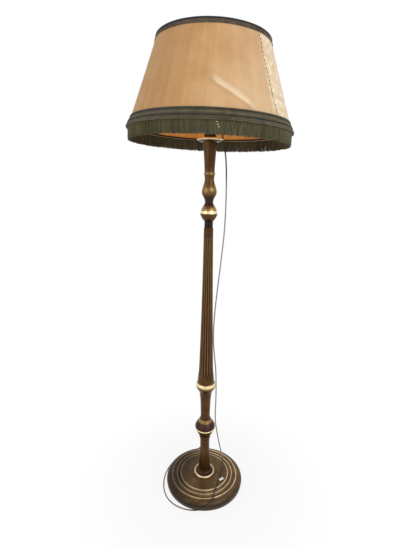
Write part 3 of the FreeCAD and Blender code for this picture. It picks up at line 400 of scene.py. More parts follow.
# ---------------------------------------------------------------- steel and iron inside the pole
# A steel tube, threaded at both ends, clamps the turnings together between a nut in the base and one in
# the candle cup. A rough iron disc in the base's recess keeps the lamp upright.
def worked_metal(name, clean, dull, metallic, roughness, pits=0.0002):
    """Metal that has dulled in patches, with fine marks from the lathe round it."""
    paint = Finish(name)
    patch = paint.noise(paint.place, 140.0, 4.0)
    marks = paint.noise(paint.vector(paint.x * 240.0, paint.y * 240.0, paint.z * 2600.0), 1.0, 2.0)
    return paint.surface({
        "Base Color": paint.blend(paint.ease(patch, 0.42, 0.70) * 0.7, tint(*clean), tint(*dull)),
        "Metallic": metallic,
        "Roughness": roughness + (patch - 0.5) * 0.30 + (marks - 0.5) * 0.15,
        "Normal": paint.bump(patch * 0.5 + marks * 0.5, pits),
    })


dress(worked_metal("zinc-plated steel", (176, 178, 180), (120, 116, 104), 1.0, 0.38),
      "central_tube", "base_washer", "base_nut", "lock_washer", "lock_nut", "plunger_springs")
dress(worked_metal("rough cast iron", (58, 56, 54), (74, 48, 34), 0.7, 0.72, 0.0009), "iron_weight")


# ---------------------------------------------------------------- lampholder
# A brass bayonet holder screwed on the tube: cap, barrel with its skirt, porcelain core, two sprung
# contacts, a brown push bar, and two scalloped ring nuts that hold the shade's gimbal between them.
dress(worked_metal("dulled brass", (196, 160, 88), (112, 80, 42), 1.0, 0.34),
      "holder_cap", "holder_barrel", "lower_clamp_ring", "upper_clamp_ring", "contact_plungers")

porcelain = Finish("glazed porcelain")
glaze = porcelain.noise(porcelain.place, 260.0, 3.0)
dress(porcelain.surface({
    "Base Color": porcelain.blend(glaze, tint(214, 208, 194), tint(238, 234, 224)),
    "Roughness": 0.14 + 0.14 * glaze,
    "Normal": porcelain.bump(glaze, 0.0002),
}), "holder_core")

bakelite = Finish("brown bakelite")
swirl = bakelite.noise(bakelite.place, 180.0, 5.0, 0.7)
dress(bakelite.surface({
    "Base Color": bakelite.blend(bakelite.ease(swirl, 0.35, 0.70), tint(46, 22, 12), tint(78, 40, 22)),
    "Roughness": 0.24 + 0.22 * swirl,
}), "switch_bar")


# ---------------------------------------------------------------- bulb
# A pearl bulb with a brass bayonet cap. The glass is frosted inside, so that the foot tube and the bow of
# its filament show through only as a soft shape.
dress(worked_metal("bulb cap brass", (206, 178, 112), (140, 108, 62), 1.0, 0.28), "bulb_cap")

pearl = Finish("pearl glass")
frost = pearl.noise(pearl.place, 700.0, 2.0)
dress(pearl.surface({
    "Base Color": pearl.blend(frost, tint(238, 235, 226), tint(250, 248, 242)),
    "Roughness": 0.34 + 0.14 * frost,
    "Transmission Weight": 0.55,
    "IOR": 1.45,
}), "bulb_glass")

stem_glass = Finish("stem glass and wire")
lead_grey = stem_glass.noise(stem_glass.place, 300.0, 3.0)
dress(stem_glass.surface({
    "Base Color": stem_glass.blend(lead_grey, tint(150, 150, 146), tint(196, 196, 190)),
    "Roughness": 0.16 + 0.18 * lead_grey,
}), "bulb_stem")


# ---------------------------------------------------------------- shade frame
# Steel wire, bent and brazed, dipped in cream enamel that has yellowed and chipped: a fitter ring that
# swings on the gimbal's pins, four arms, a ring at the top and one at the bottom, and ten struts.
enamel = Finish("yellowed enamel on wire")
chip = enamel.noise(enamel.place, 210.0, 5.0, 0.65)
chipped = enamel.ease(chip, 0.63, 0.66)
dress(enamel.surface({
    "Base Color": enamel.blend(chipped, enamel.blend(chip, tint(196, 180, 142), tint(222, 212, 184)),
                               tint(74, 48, 30)),
    "Roughness": 0.34 + 0.40 * chipped + 0.12 * chip,
    "Metallic": 0.5 * chipped,
    "Normal": enamel.bump(1.0 - chipped, 0.0003),
}), "gimbal_washer", "fitter_ring", "fitter_arms", "shade_top_ring", "shade_low_ring", "shade_struts")


# ---------------------------------------------------------------- fabric cover
# One piece of plain woven shade cloth, cut as part of a ring, pulled tight round the frame and seamed on
# the front right. It lies flat between the struts, puckers beside the seam and has a few slack creases.
SHADE_TOP_Z = 1.700
SHADE_LOW_Z = 1.426
SHADE_H = SHADE_TOP_Z - SHADE_LOW_Z
COVER_TOP_R = 0.1815
COVER_LOW_R = 0.2718
COVER_T = 0.0009
SLANT = math.atan((COVER_LOW_R - COVER_TOP_R) / SHADE_H)
GIMBAL_AZIMUTH = 119.4
STRUT_AZIMUTH = GIMBAL_AZIMUTH + 18.0
PIVOT = Vector((0.0, 0.0, 1.4856))
PIVOT_LINE = Vector((math.cos(math.radians(GIMBAL_AZIMUTH)), math.sin(math.radians(GIMBAL_AZIMUTH)), 0.0))
LEAN = math.radians(1.81)
SHADE_LEAN = Matrix.Translation(PIVOT) @ Matrix.Rotation(LEAN, 4, PIVOT_LINE) @ Matrix.Translation(-PIVOT)

# Each crease: azimuth in degrees and height in metres of both ends, height and half width in metres.
CREASES = [
    (-88.5, 1.530, -77.9, 1.504, 0.0011, 0.0070), (-77.9, 1.504, -66.0, 1.472, 0.0012, 0.0075),
    (-83.0, 1.497, -74.5, 1.471, 0.0008, 0.0055), (-67.5, 1.622, -60.3, 1.583, 0.0009, 0.0080),
    (-93.0, 1.552, -88.5, 1.530, 0.0005, 0.0080), (-60.0, 1.540, -53.0, 1.500, 0.0006, 0.0070),
    (-45.2, 1.654, -40.6, 1.634, 0.0012, 0.0050), (-43.0, 1.630, -37.0, 1.612, 0.0013, 0.0055),
    (-38.0, 1.626, -31.5, 1.612, 0.0012, 0.0055), (-32.5, 1.607, -26.5, 1.588, 0.0013, 0.0060),
    (-41.0, 1.600, -34.5, 1.578, 0.0010, 0.0060), (-30.5, 1.580, -23.0, 1.560, 0.0010, 0.0065),
    (-42.0, 1.560, -35.0, 1.534, 0.0009, 0.0065), (-40.5, 1.512, -33.5, 1.490, 0.0008, 0.0060),
]
# The cloth is slack: each crease stands this much prouder, and spreads this much wider, than when new.
CREASE_RISE = 2.6
CREASE_SPREAD = 1.5
random.seed(7)
for _ in range(26):
    start = random.uniform(-15.0, 255.0)
    height = random.uniform(1.46, 1.66)
    length = random.uniform(5.0, 13.0)
    fall = random.uniform(-0.034, 0.034)
    CREASES.append((start, height, start + length, height + fall, random.uniform(0.0003, 0.0008), 0.0075))


def cloth_radius(z):
    return COVER_TOP_R + (COVER_LOW_R - COVER_TOP_R) * (SHADE_TOP_Z - z) / SHADE_H


def on_cone(azimuth, z, out=0.0):
    """A point on the cover's outer face, or that far out from it, before the shade leans."""
    radius = cloth_radius(z) + out
    return Vector((radius * math.cos(math.radians(azimuth)), radius * math.sin(math.radians(azimuth)), z))


def seam_azimuth(z):
    return -46.8 + 22.4 * (1.673 - z)


def to_crease(azimuth, z, crease):
    """How far a place is to one side of a crease's line, and how far from the line's nearest point."""
    per_degree = math.radians(cloth_radius(z))
    a = Vector((crease[0] * per_degree, crease[1]))
    b = Vector((crease[2] * per_degree, crease[3]))
    along = b - a
    place = Vector((azimuth * per_degree, z)) - a
    share = max(0.0, min(1.0, place.dot(along) / along.dot(along)))
    gap = place - along * share
    return math.copysign(gap.length, along.cross(place)), gap.length


def pull(azimuth, z):
    """How far the cloth stands out from its straight cone: flat between the struts, creased and puckered."""
    rise = (z - SHADE_LOW_Z) / SHADE_H
    flat = 0.5 - 0.5 * math.cos(math.radians(10.0 * (azimuth - STRUT_AZIMUTH)))
    out = -0.0011 * flat * math.sin(math.pi * min(1.0, max(0.0, rise))) ** 0.5
    for crease in CREASES:
        if crease[0] - 6.0 < azimuth < crease[2] + 6.0 and abs(z - 0.5 * (crease[1] + crease[3])) < 0.05:
            side, gap = to_crease(azimuth, z, crease)
            width = CREASE_SPREAD * crease[5]
            fold = math.exp(-(gap / width) ** 2) - 0.55 * math.exp(-((side + 1.5 * width) / width) ** 2)
            out += CREASE_RISE * crease[4] * fold
    away = azimuth - seam_azimuth(z)
    beside = math.exp(-(away / 3.2) ** 2) * (0.4 if away < 0.0 else 1.0)
    out += 0.0014 * beside * math.sin(z * 560.0 + away * 0.8)
    return out


def wrapped(name, columns, low, high, rows, place, thickness, material):
    """A closed band of cloth round the shade. Its UV map is in metres, round the shade and up it."""
    heights = [low + (high - low) * row / rows for row in range(rows + 1)]
    turns = [-180.0 + 360.0 * column / columns for column in range(columns)]
    points = [place(azimuth, z) for z in heights for azimuth in turns]
    faces = []
    for row in range(rows):
        for column in range(columns):
            after = (column + 1) % columns
            faces.append((row * columns + column, row * columns + after,
                          (row + 1) * columns + after, (row + 1) * columns + column))
    piece = meshed(name, points, faces, material, True)
    across = 2.0 * math.pi * cloth_radius(0.5 * (low + high)) / columns
    up = (high - low) / math.cos(SLANT) / rows
    cut = piece.data.uv_layers.new(name="cut")
    for face in range(len(faces)):
        row, column = divmod(face, columns)
        corners = ((column, row), (column + 1, row), (column + 1, row + 1), (column, row + 1))
        for corner, (u, v) in enumerate(corners):
            cut.data[4 * face + corner].uv = (u * across, v * up)
    piece.data.transform(SHADE_LEAN)
    wall = piece.modifiers.new("cloth", "SOLIDIFY")
    wall.thickness = thickness
    wall.offset = -1.0
    return piece


def woven(name, deep, pale, thread, sheen, lighter=None, lighter_side=None):
    """Plain woven cloth: fine threads both ways, thicker slubs, and faint bands where the dye took less. Given
    lighter, it is also painted with light and shade.
    """
    cloth = Finish(name)
    across = cloth.node("ShaderNodeUVMap", {"uv_map": "cut"})
    across = cloth.node("ShaderNodeSeparateXYZ", {}, {0: across}, "X")
    up = across.also("Y")
    turn = across * (2.0 * math.pi / thread)
    rise = up * (2.0 * math.pi / thread)
    threads = 0.5 + 0.5 * turn.math("SINE", turn) * rise.math("SINE", rise)
    slub_up = cloth.noise(cloth.vector(across * 900.0, up * 22.0, 0.0), 1.0, 3.0)
    slub_across = cloth.noise(cloth.vector(across * 18.0, up * 800.0, 5.0), 1.0, 3.0)
    bands = cloth.noise(cloth.vector(across * 34.0, up * 1.6, 2.0), 1.0, 3.0)
    stain = cloth.noise(cloth.vector(across * 7.0, up * 7.0, 9.0), 1.0, 4.0)
    tone = 0.42 + (bands - 0.5) * 0.9 + (stain - 0.5) * 1.1 + (slub_up - 0.5) * 0.5 + (slub_across - 0.5) * 0.3
    colour = cloth.blend(cloth.ease(tone, 0.0, 1.0), tint(*deep), tint(*pale))
    if lighter:
        towards = cloth.azimuth * (180.0 / math.pi)
        # Painted light: right of the middle and past the seam the cloth is painted lighter, where the light falls,
        # made uneven by the stain noise.
        painted_light_share = cloth.ease(towards, -104.0, -44.0) * 0.30 + cloth.ease(towards, *lighter_side) * 0.46
        painted_light_share = painted_light_share * (1.0 - cloth.ease(towards, 40.0, 150.0)) + (stain - 0.5) * 0.45
        colour = cloth.blend(painted_light_share, colour, tint(*lighter))
        # The long crease right of the middle has a painted highlight along its upper side and painted shade along its
        # foot.
        above = cloth.z - (1.530 - 0.00258 * (towards + 88.5))
        reach = cloth.ease(towards, -91.0, -85.0) * (1.0 - cloth.ease(towards, -68.0, -58.0))
        # Both are painted light and shade on the cloth's own colour. One crease is pale with a
        # dark side, to match the photograph. That may be only light too.
        rubbed = cloth.ease(above, -0.004, 0.003) * (1.0 - cloth.ease(above, 0.004, 0.026)) * reach
        crease_painted_shade = cloth.ease(above, -0.020, -0.006) * (1.0 - cloth.ease(above, -0.006, 0.0)) * reach
        colour = cloth.blend(rubbed * (0.30 + 0.5 * stain), colour, tint(250, 230, 196))
        colour = cloth.blend(crease_painted_shade * 0.30, colour, tint(186, 146, 104))
        # Past the seam the cloth is mottled with painted highlights and painted shade, where its puckers catch the
        # light. Past the seam the cloth is mottled to match the photograph. Part of that may be only light.
        pucker_light_and_shade = cloth.noise(cloth.vector(across * 42.0, up * 60.0, 3.0), 1.0, 3.0)
        past = cloth.ease(towards, *lighter_side) * (1.0 - cloth.ease(towards, 40.0, 150.0))
        colour = cloth.blend(cloth.ease(pucker_light_and_shade, 0.50, 0.66) * past * 0.7, colour, tint(255, 246, 222))
        colour = cloth.blend((1.0 - cloth.ease(pucker_light_and_shade, 0.34, 0.48)) * past * 0.55, colour, tint(206, 174, 128))
    return cloth.surface({
        "Base Color": cloth.shaded(colour, 0.93 + 0.14 * threads),
        "Roughness": 0.80 + 0.14 * threads,
        "Sheen Weight": sheen,
        "Sheen Roughness": 0.45,
        "Normal": cloth.bump(threads * 0.6 + slub_up * 0.7 + slub_across * 0.5, 0.00035, 0.7),
    })


cover_cloth = woven("shade cloth", (192, 142, 90), (217, 172, 120), 0.0011, 0.15, (240, 222, 190), (-47.5, -42.5))
cover = wrapped("cover_cloth", 480, SHADE_LOW_Z, SHADE_TOP_Z - 0.0016, 60,
                lambda azimuth, z: on_cone(azimuth, z, pull(azimuth, z)), COVER_T, cover_cloth)
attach(cover, "shade")
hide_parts("shade_cover")


# ---------------------------------------------------------------- seam of the cover
# The cloth's two edges are lapped, turned under and sewn down beside the fold with a dark thread. The
# fold shows as a thin red-brown line from one trim to the other.
def piped(name, points, radius, material, facets=3):
    """A thin round cord through the points, kept as a mesh."""
    line = bpy.data.curves.new(name, "CURVE")
    line.dimensions = "3D"
    line.bevel_depth = radius
    line.bevel_resolution = facets
    line.use_fill_caps = True
    spline = line.splines.new("POLY")
    spline.points.add(len(points) - 1)
    for place, point in zip(spline.points, points):
        place.co = (*point, 1.0)
    holder = bpy.data.objects.new(name + "_line", line)
    bpy.context.collection.objects.link(holder)
    mesh = bpy.data.meshes.new_from_object(holder.evaluated_get(bpy.context.evaluated_depsgraph_get()))
    bpy.data.objects.remove(holder)
    mesh.name = name
    mesh.materials.clear()
    mesh.materials.append(material)
    mesh.shade_smooth()
    piece = bpy.data.objects.new(name, mesh)
    bpy.context.collection.objects.link(piece)
    return piece


def sewing(name, deep, pale, twist):
    """Sewing thread or cord: two plies that twist round each other, and a little fluff."""
    yarn = Finish(name)
    fluff = yarn.noise(yarn.place, 1100.0, 3.0)
    tone = yarn.noise(yarn.place, 46.0, 3.0)
    plies = (yarn.azimuth * 0.23 + yarn.z) * twist
    ply = 0.5 + 0.5 * plies.math("SINE", plies)
    return yarn.surface({
        "Base Color": yarn.blend(yarn.ease(ply * 0.5 + tone * 0.4 + fluff * 0.3, 0.2, 1.0), tint(*deep), tint(*pale)),
        "Roughness": 0.72 + 0.20 * fluff,
        "Sheen Weight": 0.2,
        "Normal": yarn.bump(ply * 0.6 + fluff * 0.4, 0.0004, 0.8),
    })


seam_thread = sewing("red-brown seam", (92, 48, 28), (132, 78, 48), 3000.0)
SEAM_LOW = SHADE_LOW_Z + 0.026
SEAM_HIGH = SHADE_TOP_Z - 0.018
seam_points = []
for step in range(81):
    z = SEAM_LOW + (SEAM_HIGH - SEAM_LOW) * step / 80
    azimuth = seam_azimuth(z)
    seam_points.append(SHADE_LEAN @ on_cone(azimuth, z, pull(azimuth, z) + 0.0001))
seam = piped("cover_seam", seam_points, 0.0008, seam_thread)
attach(seam, "shade")


class Pattern(Tree):
    """A geometry tree in the making. Its sizes and its material are named inputs."""

    def __init__(self, name):
        self.group = bpy.data.node_groups.new(name, "GeometryNodeTree")
        super().__init__(self.group)
        self.group.interface.new_socket("Geometry", in_out="OUTPUT", socket_type="NodeSocketGeometry")
        self.entry = self.group.nodes.new("NodeGroupInput")
        self.names = {}

    def size(self, name, kind="Float"):
        made = self.group.interface.new_socket(name, in_out="INPUT", socket_type="NodeSocket" + kind)
        self.names[name] = made.identifier
        return Wire(self, self.entry.outputs[name])

    def chance(self, low, high, seed):
        """A random number for each point."""
        return self.node("FunctionNodeRandomValue", {"data_type": "FLOAT"}, {2: low, 3: high, "Seed": seed}, 1)

    def close(self, geometry):
        """Ends the tree: its instances are made real and get the material."""
        material = self.size("Material", "Material")
        real = self.node("GeometryNodeRealizeInstances", {}, {0: geometry})
        smooth = self.node("GeometryNodeSetShadeSmooth", {}, {0: real})
        dressed = self.node("GeometryNodeSetMaterial", {}, {0: smooth, "Material": material})
        self.node("NodeGroupOutput", {}, {0: dressed})

    def piece(self, name, material, values):
        """Runs the tree once and keeps the result as a plain mesh."""
        holder = bpy.data.objects.new(name, bpy.data.meshes.new(name + "_seed"))
        bpy.context.collection.objects.link(holder)
        modifier = holder.modifiers.new("pattern", "NODES")
        modifier.node_group = self.group
        for label, value in {**values, "Material": material}.items():
            modifier[self.names[label]] = value
        depsgraph = bpy.context.evaluated_depsgraph_get()
        made = bpy.data.meshes.new_from_object(holder.evaluated_get(depsgraph), preserve_all_data_layers=True,
                                               depsgraph=depsgraph)
        holder.modifiers.clear()
        holder.data = made
        made.name = name
        made.transform(SHADE_LEAN)
        return holder


# ---------------------------------------------------------------- lining
# Gold satin on the inside of the frame, gathered a little on the wires. Its colour is painted bright, standing in for
# the glow of the daylight that comes through the cover, so it is the brightest thing under the shade.
LINING_LOW_Z = SHADE_LOW_Z + 0.001
LINING_HIGH_Z = SHADE_TOP_Z - 0.004
LINING_INSET = 0.0060


def lining_place(azimuth, z):
    rise = (z - LINING_LOW_Z) / (LINING_HIGH_Z - LINING_LOW_Z)
    slack = math.sin(math.pi * rise)
    gather = 0.0009 * math.sin(math.radians(azimuth * 60.0)) * (0.3 + 0.7 * abs(2.0 * rise - 1.0))
    sag = -0.0012 * slack * (0.5 - 0.5 * math.cos(math.radians(10.0 * (azimuth - STRUT_AZIMUTH))))
    return on_cone(azimuth, z, -LINING_INSET + min(0.0, gather) + sag)


# The lining's bright colours are a painted glow.
lining_cloth = woven("gold satin", (232, 146, 62), (250, 184, 96), 0.0009, 0.3)
lining = wrapped("lining_cloth", 480, LINING_LOW_Z, LINING_HIGH_Z, 24, lining_place, 0.0006, lining_cloth)
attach(lining, "shade")
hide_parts("shade_lining")
lining_radii = (cloth_radius(LINING_LOW_Z) - LINING_INSET, cloth_radius(LINING_HIGH_Z) - LINING_INSET)
lining_slant = (LINING_HIGH_Z - LINING_LOW_Z) / math.cos(SLANT)
math.pi * sum(lining_radii) * lining_slant

# A dark tape is sewn along the lining's lower edge, on the inside.
HEM_H = 0.005
HEM_INSET = LINING_INSET + 0.0024
hem_yarn = Finish("dark hem tape")
hem_fluff = hem_yarn.noise(hem_yarn.place, 1200.0, 3.0)
hem_weave = hem_yarn.surface({
    "Base Color": hem_yarn.blend(hem_fluff, tint(24, 19, 15), tint(46, 38, 30)),
    "Roughness": 0.80 + 0.16 * hem_fluff,
    "Normal": hem_yarn.bump(hem_fluff, 0.0004),
})
hem_tape = wrapped("lining_hem", 360, LINING_LOW_Z, LINING_LOW_Z + HEM_H, 2,
                   lambda azimuth, z: on_cone(azimuth, z, -HEM_INSET), 0.0005, hem_weave)
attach(hem_tape, "shade")


# ---------------------------------------------------------------- trim round the top edge
# A dark woven band, folded over the top ring and glued: upright ribs between two twisted border cords.
# Its ends lap on the front right, just beside the seam.
TOP_BAND_H = 0.0165


def revolved(name, columns, profile, material, push=None):
    """A closed outline turned round the shade's axis. The outline is (out from the cover, height) pairs that
    go up the outer side, and push gives how far out each of its points stands at an azimuth."""
    count = len(profile)
    points = []
    for column in range(columns):
        azimuth = 360.0 * column / columns
        for k, (out, z) in enumerate(profile):
            points.append(SHADE_LEAN @ on_cone(azimuth, z, out + (push(azimuth, k) if push else 0.0)))
    faces = []
    for column in range(columns):
        here = column * count
        there = (column + 1) % columns * count
        for k in range(count):
            after = (k + 1) % count
            faces.append((here + k, there + k, there + after, here + after))
    return meshed(name, points, faces, material, True)


ribs = Pattern("ribs round a ring")
rib_count = ribs.size("Count", "Int")
rib_ring = ribs.node("GeometryNodeMeshCircle", {"fill_type": "NONE"},
                     {"Vertices": rib_count, "Radius": ribs.size("Radius")})
rib_ring = ribs.node("GeometryNodeSetPosition", {},
                     {0: rib_ring, "Offset": ribs.vector(0.0, 0.0, ribs.size("Height"))})
half_rib = ribs.size("Length") * 0.5
rib_line = ribs.node("GeometryNodeCurvePrimitiveLine", {}, {"Start": ribs.vector(0.0, 0.0, 0.0 - half_rib),
                                                            "End": ribs.vector(0.0, 0.0, half_rib)})
rib_line = ribs.node("GeometryNodeResampleCurve", {}, {0: rib_line, "Count": 4})
rib_section = ribs.node("GeometryNodeCurvePrimitiveCircle", {},
                        {"Resolution": 5, "Radius": ribs.size("Thickness") * 0.5})
rib_body = ribs.node("GeometryNodeCurveToMesh", {}, {0: rib_line, "Profile Curve": rib_section, "Fill Caps": True})
rib_place = ribs.node("ShaderNodeSeparateXYZ", {}, {0: ribs.node("GeometryNodeInputPosition")}, "X")
rib_turn = rib_place.math("ARCTAN2", rib_place.also("Y"), rib_place)
rib_tilt = ribs.vector(ribs.size("Twist") + ribs.chance(-0.03, 0.03, 3), 0.0 - ribs.size("Slant"), rib_turn)
ribs.close(ribs.node("GeometryNodeInstanceOnPoints", {},
                     {"Points": rib_ring, "Instance": rib_body, "Rotation": rib_tilt}))


def braiding(name, deep, pale, fade):
    """Dull twisted yarn of a woven trim, paler where the light and dust of years have faded it."""
    yarn = Finish(name)
    fluff = yarn.noise(yarn.place, 1500.0, 3.0)
    tone = yarn.noise(yarn.place, 38.0, 4.0)
    faded = yarn.noise(yarn.place, 240.0, 3.0)
    colour = yarn.blend(yarn.ease(tone * 0.7 + fluff * 0.6, 0.35, 0.95), tint(*deep), tint(*pale))
    return yarn.surface({
        "Base Color": yarn.blend(yarn.ease(faded, 0.55, 0.72) * 0.45, colour, tint(*fade)),
        "Roughness": 0.78 + 0.18 * fluff,
        "Sheen Weight": 0.25,
        "Sheen Roughness": 0.5,
        "Normal": yarn.bump(fluff, 0.0006, 0.8),
    })


band_yarn = braiding("dark woven band", (55, 45, 36), (104, 88, 71), (139, 121, 96))
edge_yarn = braiding("black border cord", (9, 9, 10), (22, 21, 22), (40, 38, 36))
BAND_LOW_Z = SHADE_TOP_Z - TOP_BAND_H
TOP_PROFILE = [
    (0.0001, BAND_LOW_Z), (0.0010, BAND_LOW_Z), (0.0013, BAND_LOW_Z + 0.002), (0.0012, SHADE_TOP_Z - 0.004),
    (0.0012, SHADE_TOP_Z - 0.0016), (0.0002, SHADE_TOP_Z - 0.0002), (-0.0011, SHADE_TOP_Z - 0.0002),
    (-0.0018, SHADE_TOP_Z - 0.0010), (-0.0018, SHADE_TOP_Z - 0.0026), (-0.0012, SHADE_TOP_Z - 0.0026),
    (-0.0011, SHADE_TOP_Z - 0.0014), (0.0001, SHADE_TOP_Z - 0.0015),
]
top_band = revolved("top_band", 360, TOP_PROFILE, band_yarn)
BAND_MIDDLE_Z = SHADE_TOP_Z - 0.5 * TOP_BAND_H
band_ribs = ribs.piece("top_band_ribs", band_yarn, {
    "Count": 620, "Radius": cloth_radius(BAND_MIDDLE_Z) + 0.0012, "Height": BAND_MIDDLE_Z, "Length": 0.0126,
    "Thickness": 0.0014, "Twist": 0.0, "Slant": SLANT})
top_cord = ribs.piece("top_edge_cord", edge_yarn, {
    "Count": 520, "Radius": cloth_radius(SHADE_TOP_Z - 0.0024) + 0.0017, "Height": SHADE_TOP_Z - 0.0026,
    "Length": 0.0048, "Thickness": 0.0034, "Twist": 0.95, "Slant": SLANT})
under_cord = ribs.piece("band_low_cord", band_yarn, {
    "Count": 560, "Radius": cloth_radius(BAND_LOW_Z + 0.001) + 0.0012, "Height": BAND_LOW_Z + 0.001,
    "Length": 0.0034, "Thickness": 0.0016, "Twist": 0.95, "Slant": SLANT})
JOIN_AZIMUTH = -49.3
join_points = [SHADE_LEAN @ on_cone(JOIN_AZIMUTH + 0.35 * math.sin(k), BAND_LOW_Z + 0.0015 * k, 0.0022)
               for k in range(11)]
band_join = piped("top_band_join", join_points, 0.0009, edge_yarn)
for piece in (band_ribs, top_cord, under_cord, band_join):
    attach(piece, "shade")
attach(top_band, "shade")
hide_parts("top_trim")


# ---------------------------------------------------------------- braid round the bottom edge
# A heavy olive braid, glued over the lower ring: twisted cords at its top, a ribbed band, and a full roll
# whose loops make a scalloped edge above the fringe.
LOOPS = 170
braid_yarn = braiding("olive braid", (42, 37, 22), (88, 78, 50), (123, 107, 75))
# A darker copy of the olive braid: painted shade for the grooves between the cords.
shaded_braid_yarn = braiding("olive braid in shade", (13, 12, 8), (33, 30, 21), (48, 44, 33))
pale_yarn = braiding("olive cord, faded", (76, 70, 52), (130, 122, 95), (164, 156, 130))
LOW = SHADE_LOW_Z
BRAID_PROFILE = [
    (-0.0019, LOW - 0.0014), (0.0016, LOW - 0.0014), (0.0038, LOW - 0.0010), (0.0053, LOW + 0.0010),
    (0.0057, LOW + 0.0034), (0.0051, LOW + 0.0060), (0.0042, LOW + 0.0084), (0.0040, LOW + 0.0100),
    (0.0045, LOW + 0.0120), (0.0042, LOW + 0.0145), (0.0030, LOW + 0.0165), (0.0026, LOW + 0.0190),
    (0.0028, LOW + 0.0220), (0.0022, LOW + 0.0250), (0.0018, LOW + 0.0280), (0.0012, LOW + 0.0305),
    (0.00015, LOW + 0.0305), (0.00015, LOW + 0.0005), (0.00015, LOW - 0.0002), (-0.0019, LOW - 0.0002),
]


def plump(azimuth, k):
    """The roll swells in each loop; the band above it has fine upright ribs."""
    if 2 <= k <= 5:
        return 0.0011 * abs(math.cos(math.radians(azimuth * LOOPS / 2))) ** 0.7 - 0.0006
    if 8 <= k <= 14:
        return 0.0003 * math.cos(math.radians(azimuth * LOOPS * 4))
    return 0.0


braid_body = revolved("braid_body", 2720, BRAID_PROFILE, braid_yarn, plump)
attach(braid_body, "shade")
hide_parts("bottom_braid")

for name, height, out, thickness, yarn in (
        ("braid_top_cord", LOW + 0.0296, 0.0020, 0.0018, pale_yarn),
        ("braid_second_cord", LOW + 0.0262, 0.0026, 0.0019, shaded_braid_yarn),
        ("braid_third_cord", LOW + 0.0172, 0.0036, 0.0020, pale_yarn),
        ("braid_fourth_cord", LOW + 0.0096, 0.0046, 0.0026, shaded_braid_yarn)):
    made = ribs.piece(name, yarn, {
        "Count": 680, "Radius": cloth_radius(height) + out, "Height": height, "Length": 0.0040,
        "Thickness": thickness, "Twist": 0.95, "Slant": SLANT})
    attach(made, "shade")

loops = Pattern("loops round a ring")
loop_ring = loops.node("GeometryNodeMeshCircle", {"fill_type": "NONE"},
                       {"Vertices": loops.size("Count", "Int"), "Radius": loops.size("Radius")})
loop_height = loops.size("Height") + loops.chance(-0.0004, 0.0004, 11)
loop_ring = loops.node("GeometryNodeSetPosition", {},
                       {0: loop_ring, "Offset": loops.vector(0.0, 0.0, loop_height)})
loop_line = loops.node("GeometryNodeCurveArc", {}, {"Resolution": 9, "Radius": loops.size("Loop radius"),
                                                    "Start Angle": math.pi, "Sweep Angle": math.pi})
loop_line = loops.node("GeometryNodeTransform", {}, {0: loop_line, "Rotation": (math.pi / 2, 0.0, math.pi / 2)})
loop_section = loops.node("GeometryNodeCurvePrimitiveCircle", {},
                          {"Resolution": 6, "Radius": loops.size("Thickness") * 0.5})
loop_body = loops.node("GeometryNodeCurveToMesh", {},
                       {0: loop_line, "Profile Curve": loop_section, "Fill Caps": True})
loop_place = loops.node("ShaderNodeSeparateXYZ", {}, {0: loops.node("GeometryNodeInputPosition")}, "X")
loop_turn = loop_place.math("ARCTAN2", loop_place.also("Y"), loop_place)
loop_tilt = loops.vector(loops.chance(-0.10, 0.10, 12), loops.size("Tilt") + loops.chance(-0.10, 0.10, 13),
                         loop_turn)
loops.close(loops.node("GeometryNodeInstanceOnPoints", {},
                       {"Points": loop_ring, "Instance": loop_body, "Rotation": loop_tilt}))
loop_yarn = braiding("pale olive loops", (66, 62, 44), (128, 120, 92), (166, 158, 130))
braid_loops = loops.piece("braid_loops", loop_yarn, {
    "Count": LOOPS, "Radius": cloth_radius(LOW) + 0.0062, "Height": LOW + 0.0014, "Loop radius": 0.0040,
    "Thickness": 0.0023, "Tilt": 0.20})
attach(braid_loops, "shade")


# ---------------------------------------------------------------- fringe
# Olive threads, sewn side by side under the braid in two rows. They have been handled for years: they hang
# in uneven clumps, and some are shorter.
FRINGE_HIGH_Z = SHADE_LOW_Z - 0.0016
FRINGE_L = 0.0375
THREAD_D = 0.0021
fringe_yarn = Finish("fringe threads")
thread_tone = fringe_yarn.node("ShaderNodeAttribute", {"attribute_name": "tone"}, {}, "Fac")
thread_fluff = fringe_yarn.noise(fringe_yarn.place, 900.0, 3.0)
thread_patch = fringe_yarn.noise(fringe_yarn.place, 20.0, 3.0)
thread_colour = fringe_yarn.blend(fringe_yarn.ease(thread_tone * 0.75 + thread_fluff * 0.45, 0.10, 1.10),
                                  tint(43, 40, 19), tint(92, 86, 47))
thread_colour = fringe_yarn.blend(fringe_yarn.ease(thread_patch, 0.50, 0.75) * 0.4, thread_colour, tint(99, 81, 41))
fringe_finish = fringe_yarn.surface({
    "Base Color": thread_colour,
    "Roughness": 0.70 + 0.22 * thread_fluff,
    "Sheen Weight": 0.3,
    "Sheen Roughness": 0.5,
    "Normal": fringe_yarn.bump(thread_fluff, 0.0005, 0.7),
})

threads = Pattern("threads round a ring")
thread_ring = threads.node("GeometryNodeMeshCircle", {"fill_type": "NONE"},
                           {"Vertices": threads.size("Count", "Int"), "Radius": threads.size("Radius")})
stray = threads.size("Stray")
thread_ring = threads.node("GeometryNodeSetPosition", {}, {0: thread_ring, "Offset": threads.vector(
    stray * threads.chance(-1.0, 1.0, 21), stray * threads.chance(-1.0, 1.0, 22), threads.size("Height"))})
thread_place = threads.node("GeometryNodeInputPosition")
clump = threads.node("ShaderNodeTexNoise", {}, {"Vector": thread_place, "Scale": 75.0, "Detail": 2.0}, 0)
thread_line = threads.node("GeometryNodeCurvePrimitiveLine", {}, {"End": (0.0, 0.0, -1.0)})
thread_line = threads.node("GeometryNodeResampleCurve", {}, {0: thread_line, "Count": 5})
thread_line = threads.node("GeometryNodeTransform", {},
                           {0: thread_line, "Scale": threads.vector(1.0, 1.0, threads.size("Length"))})
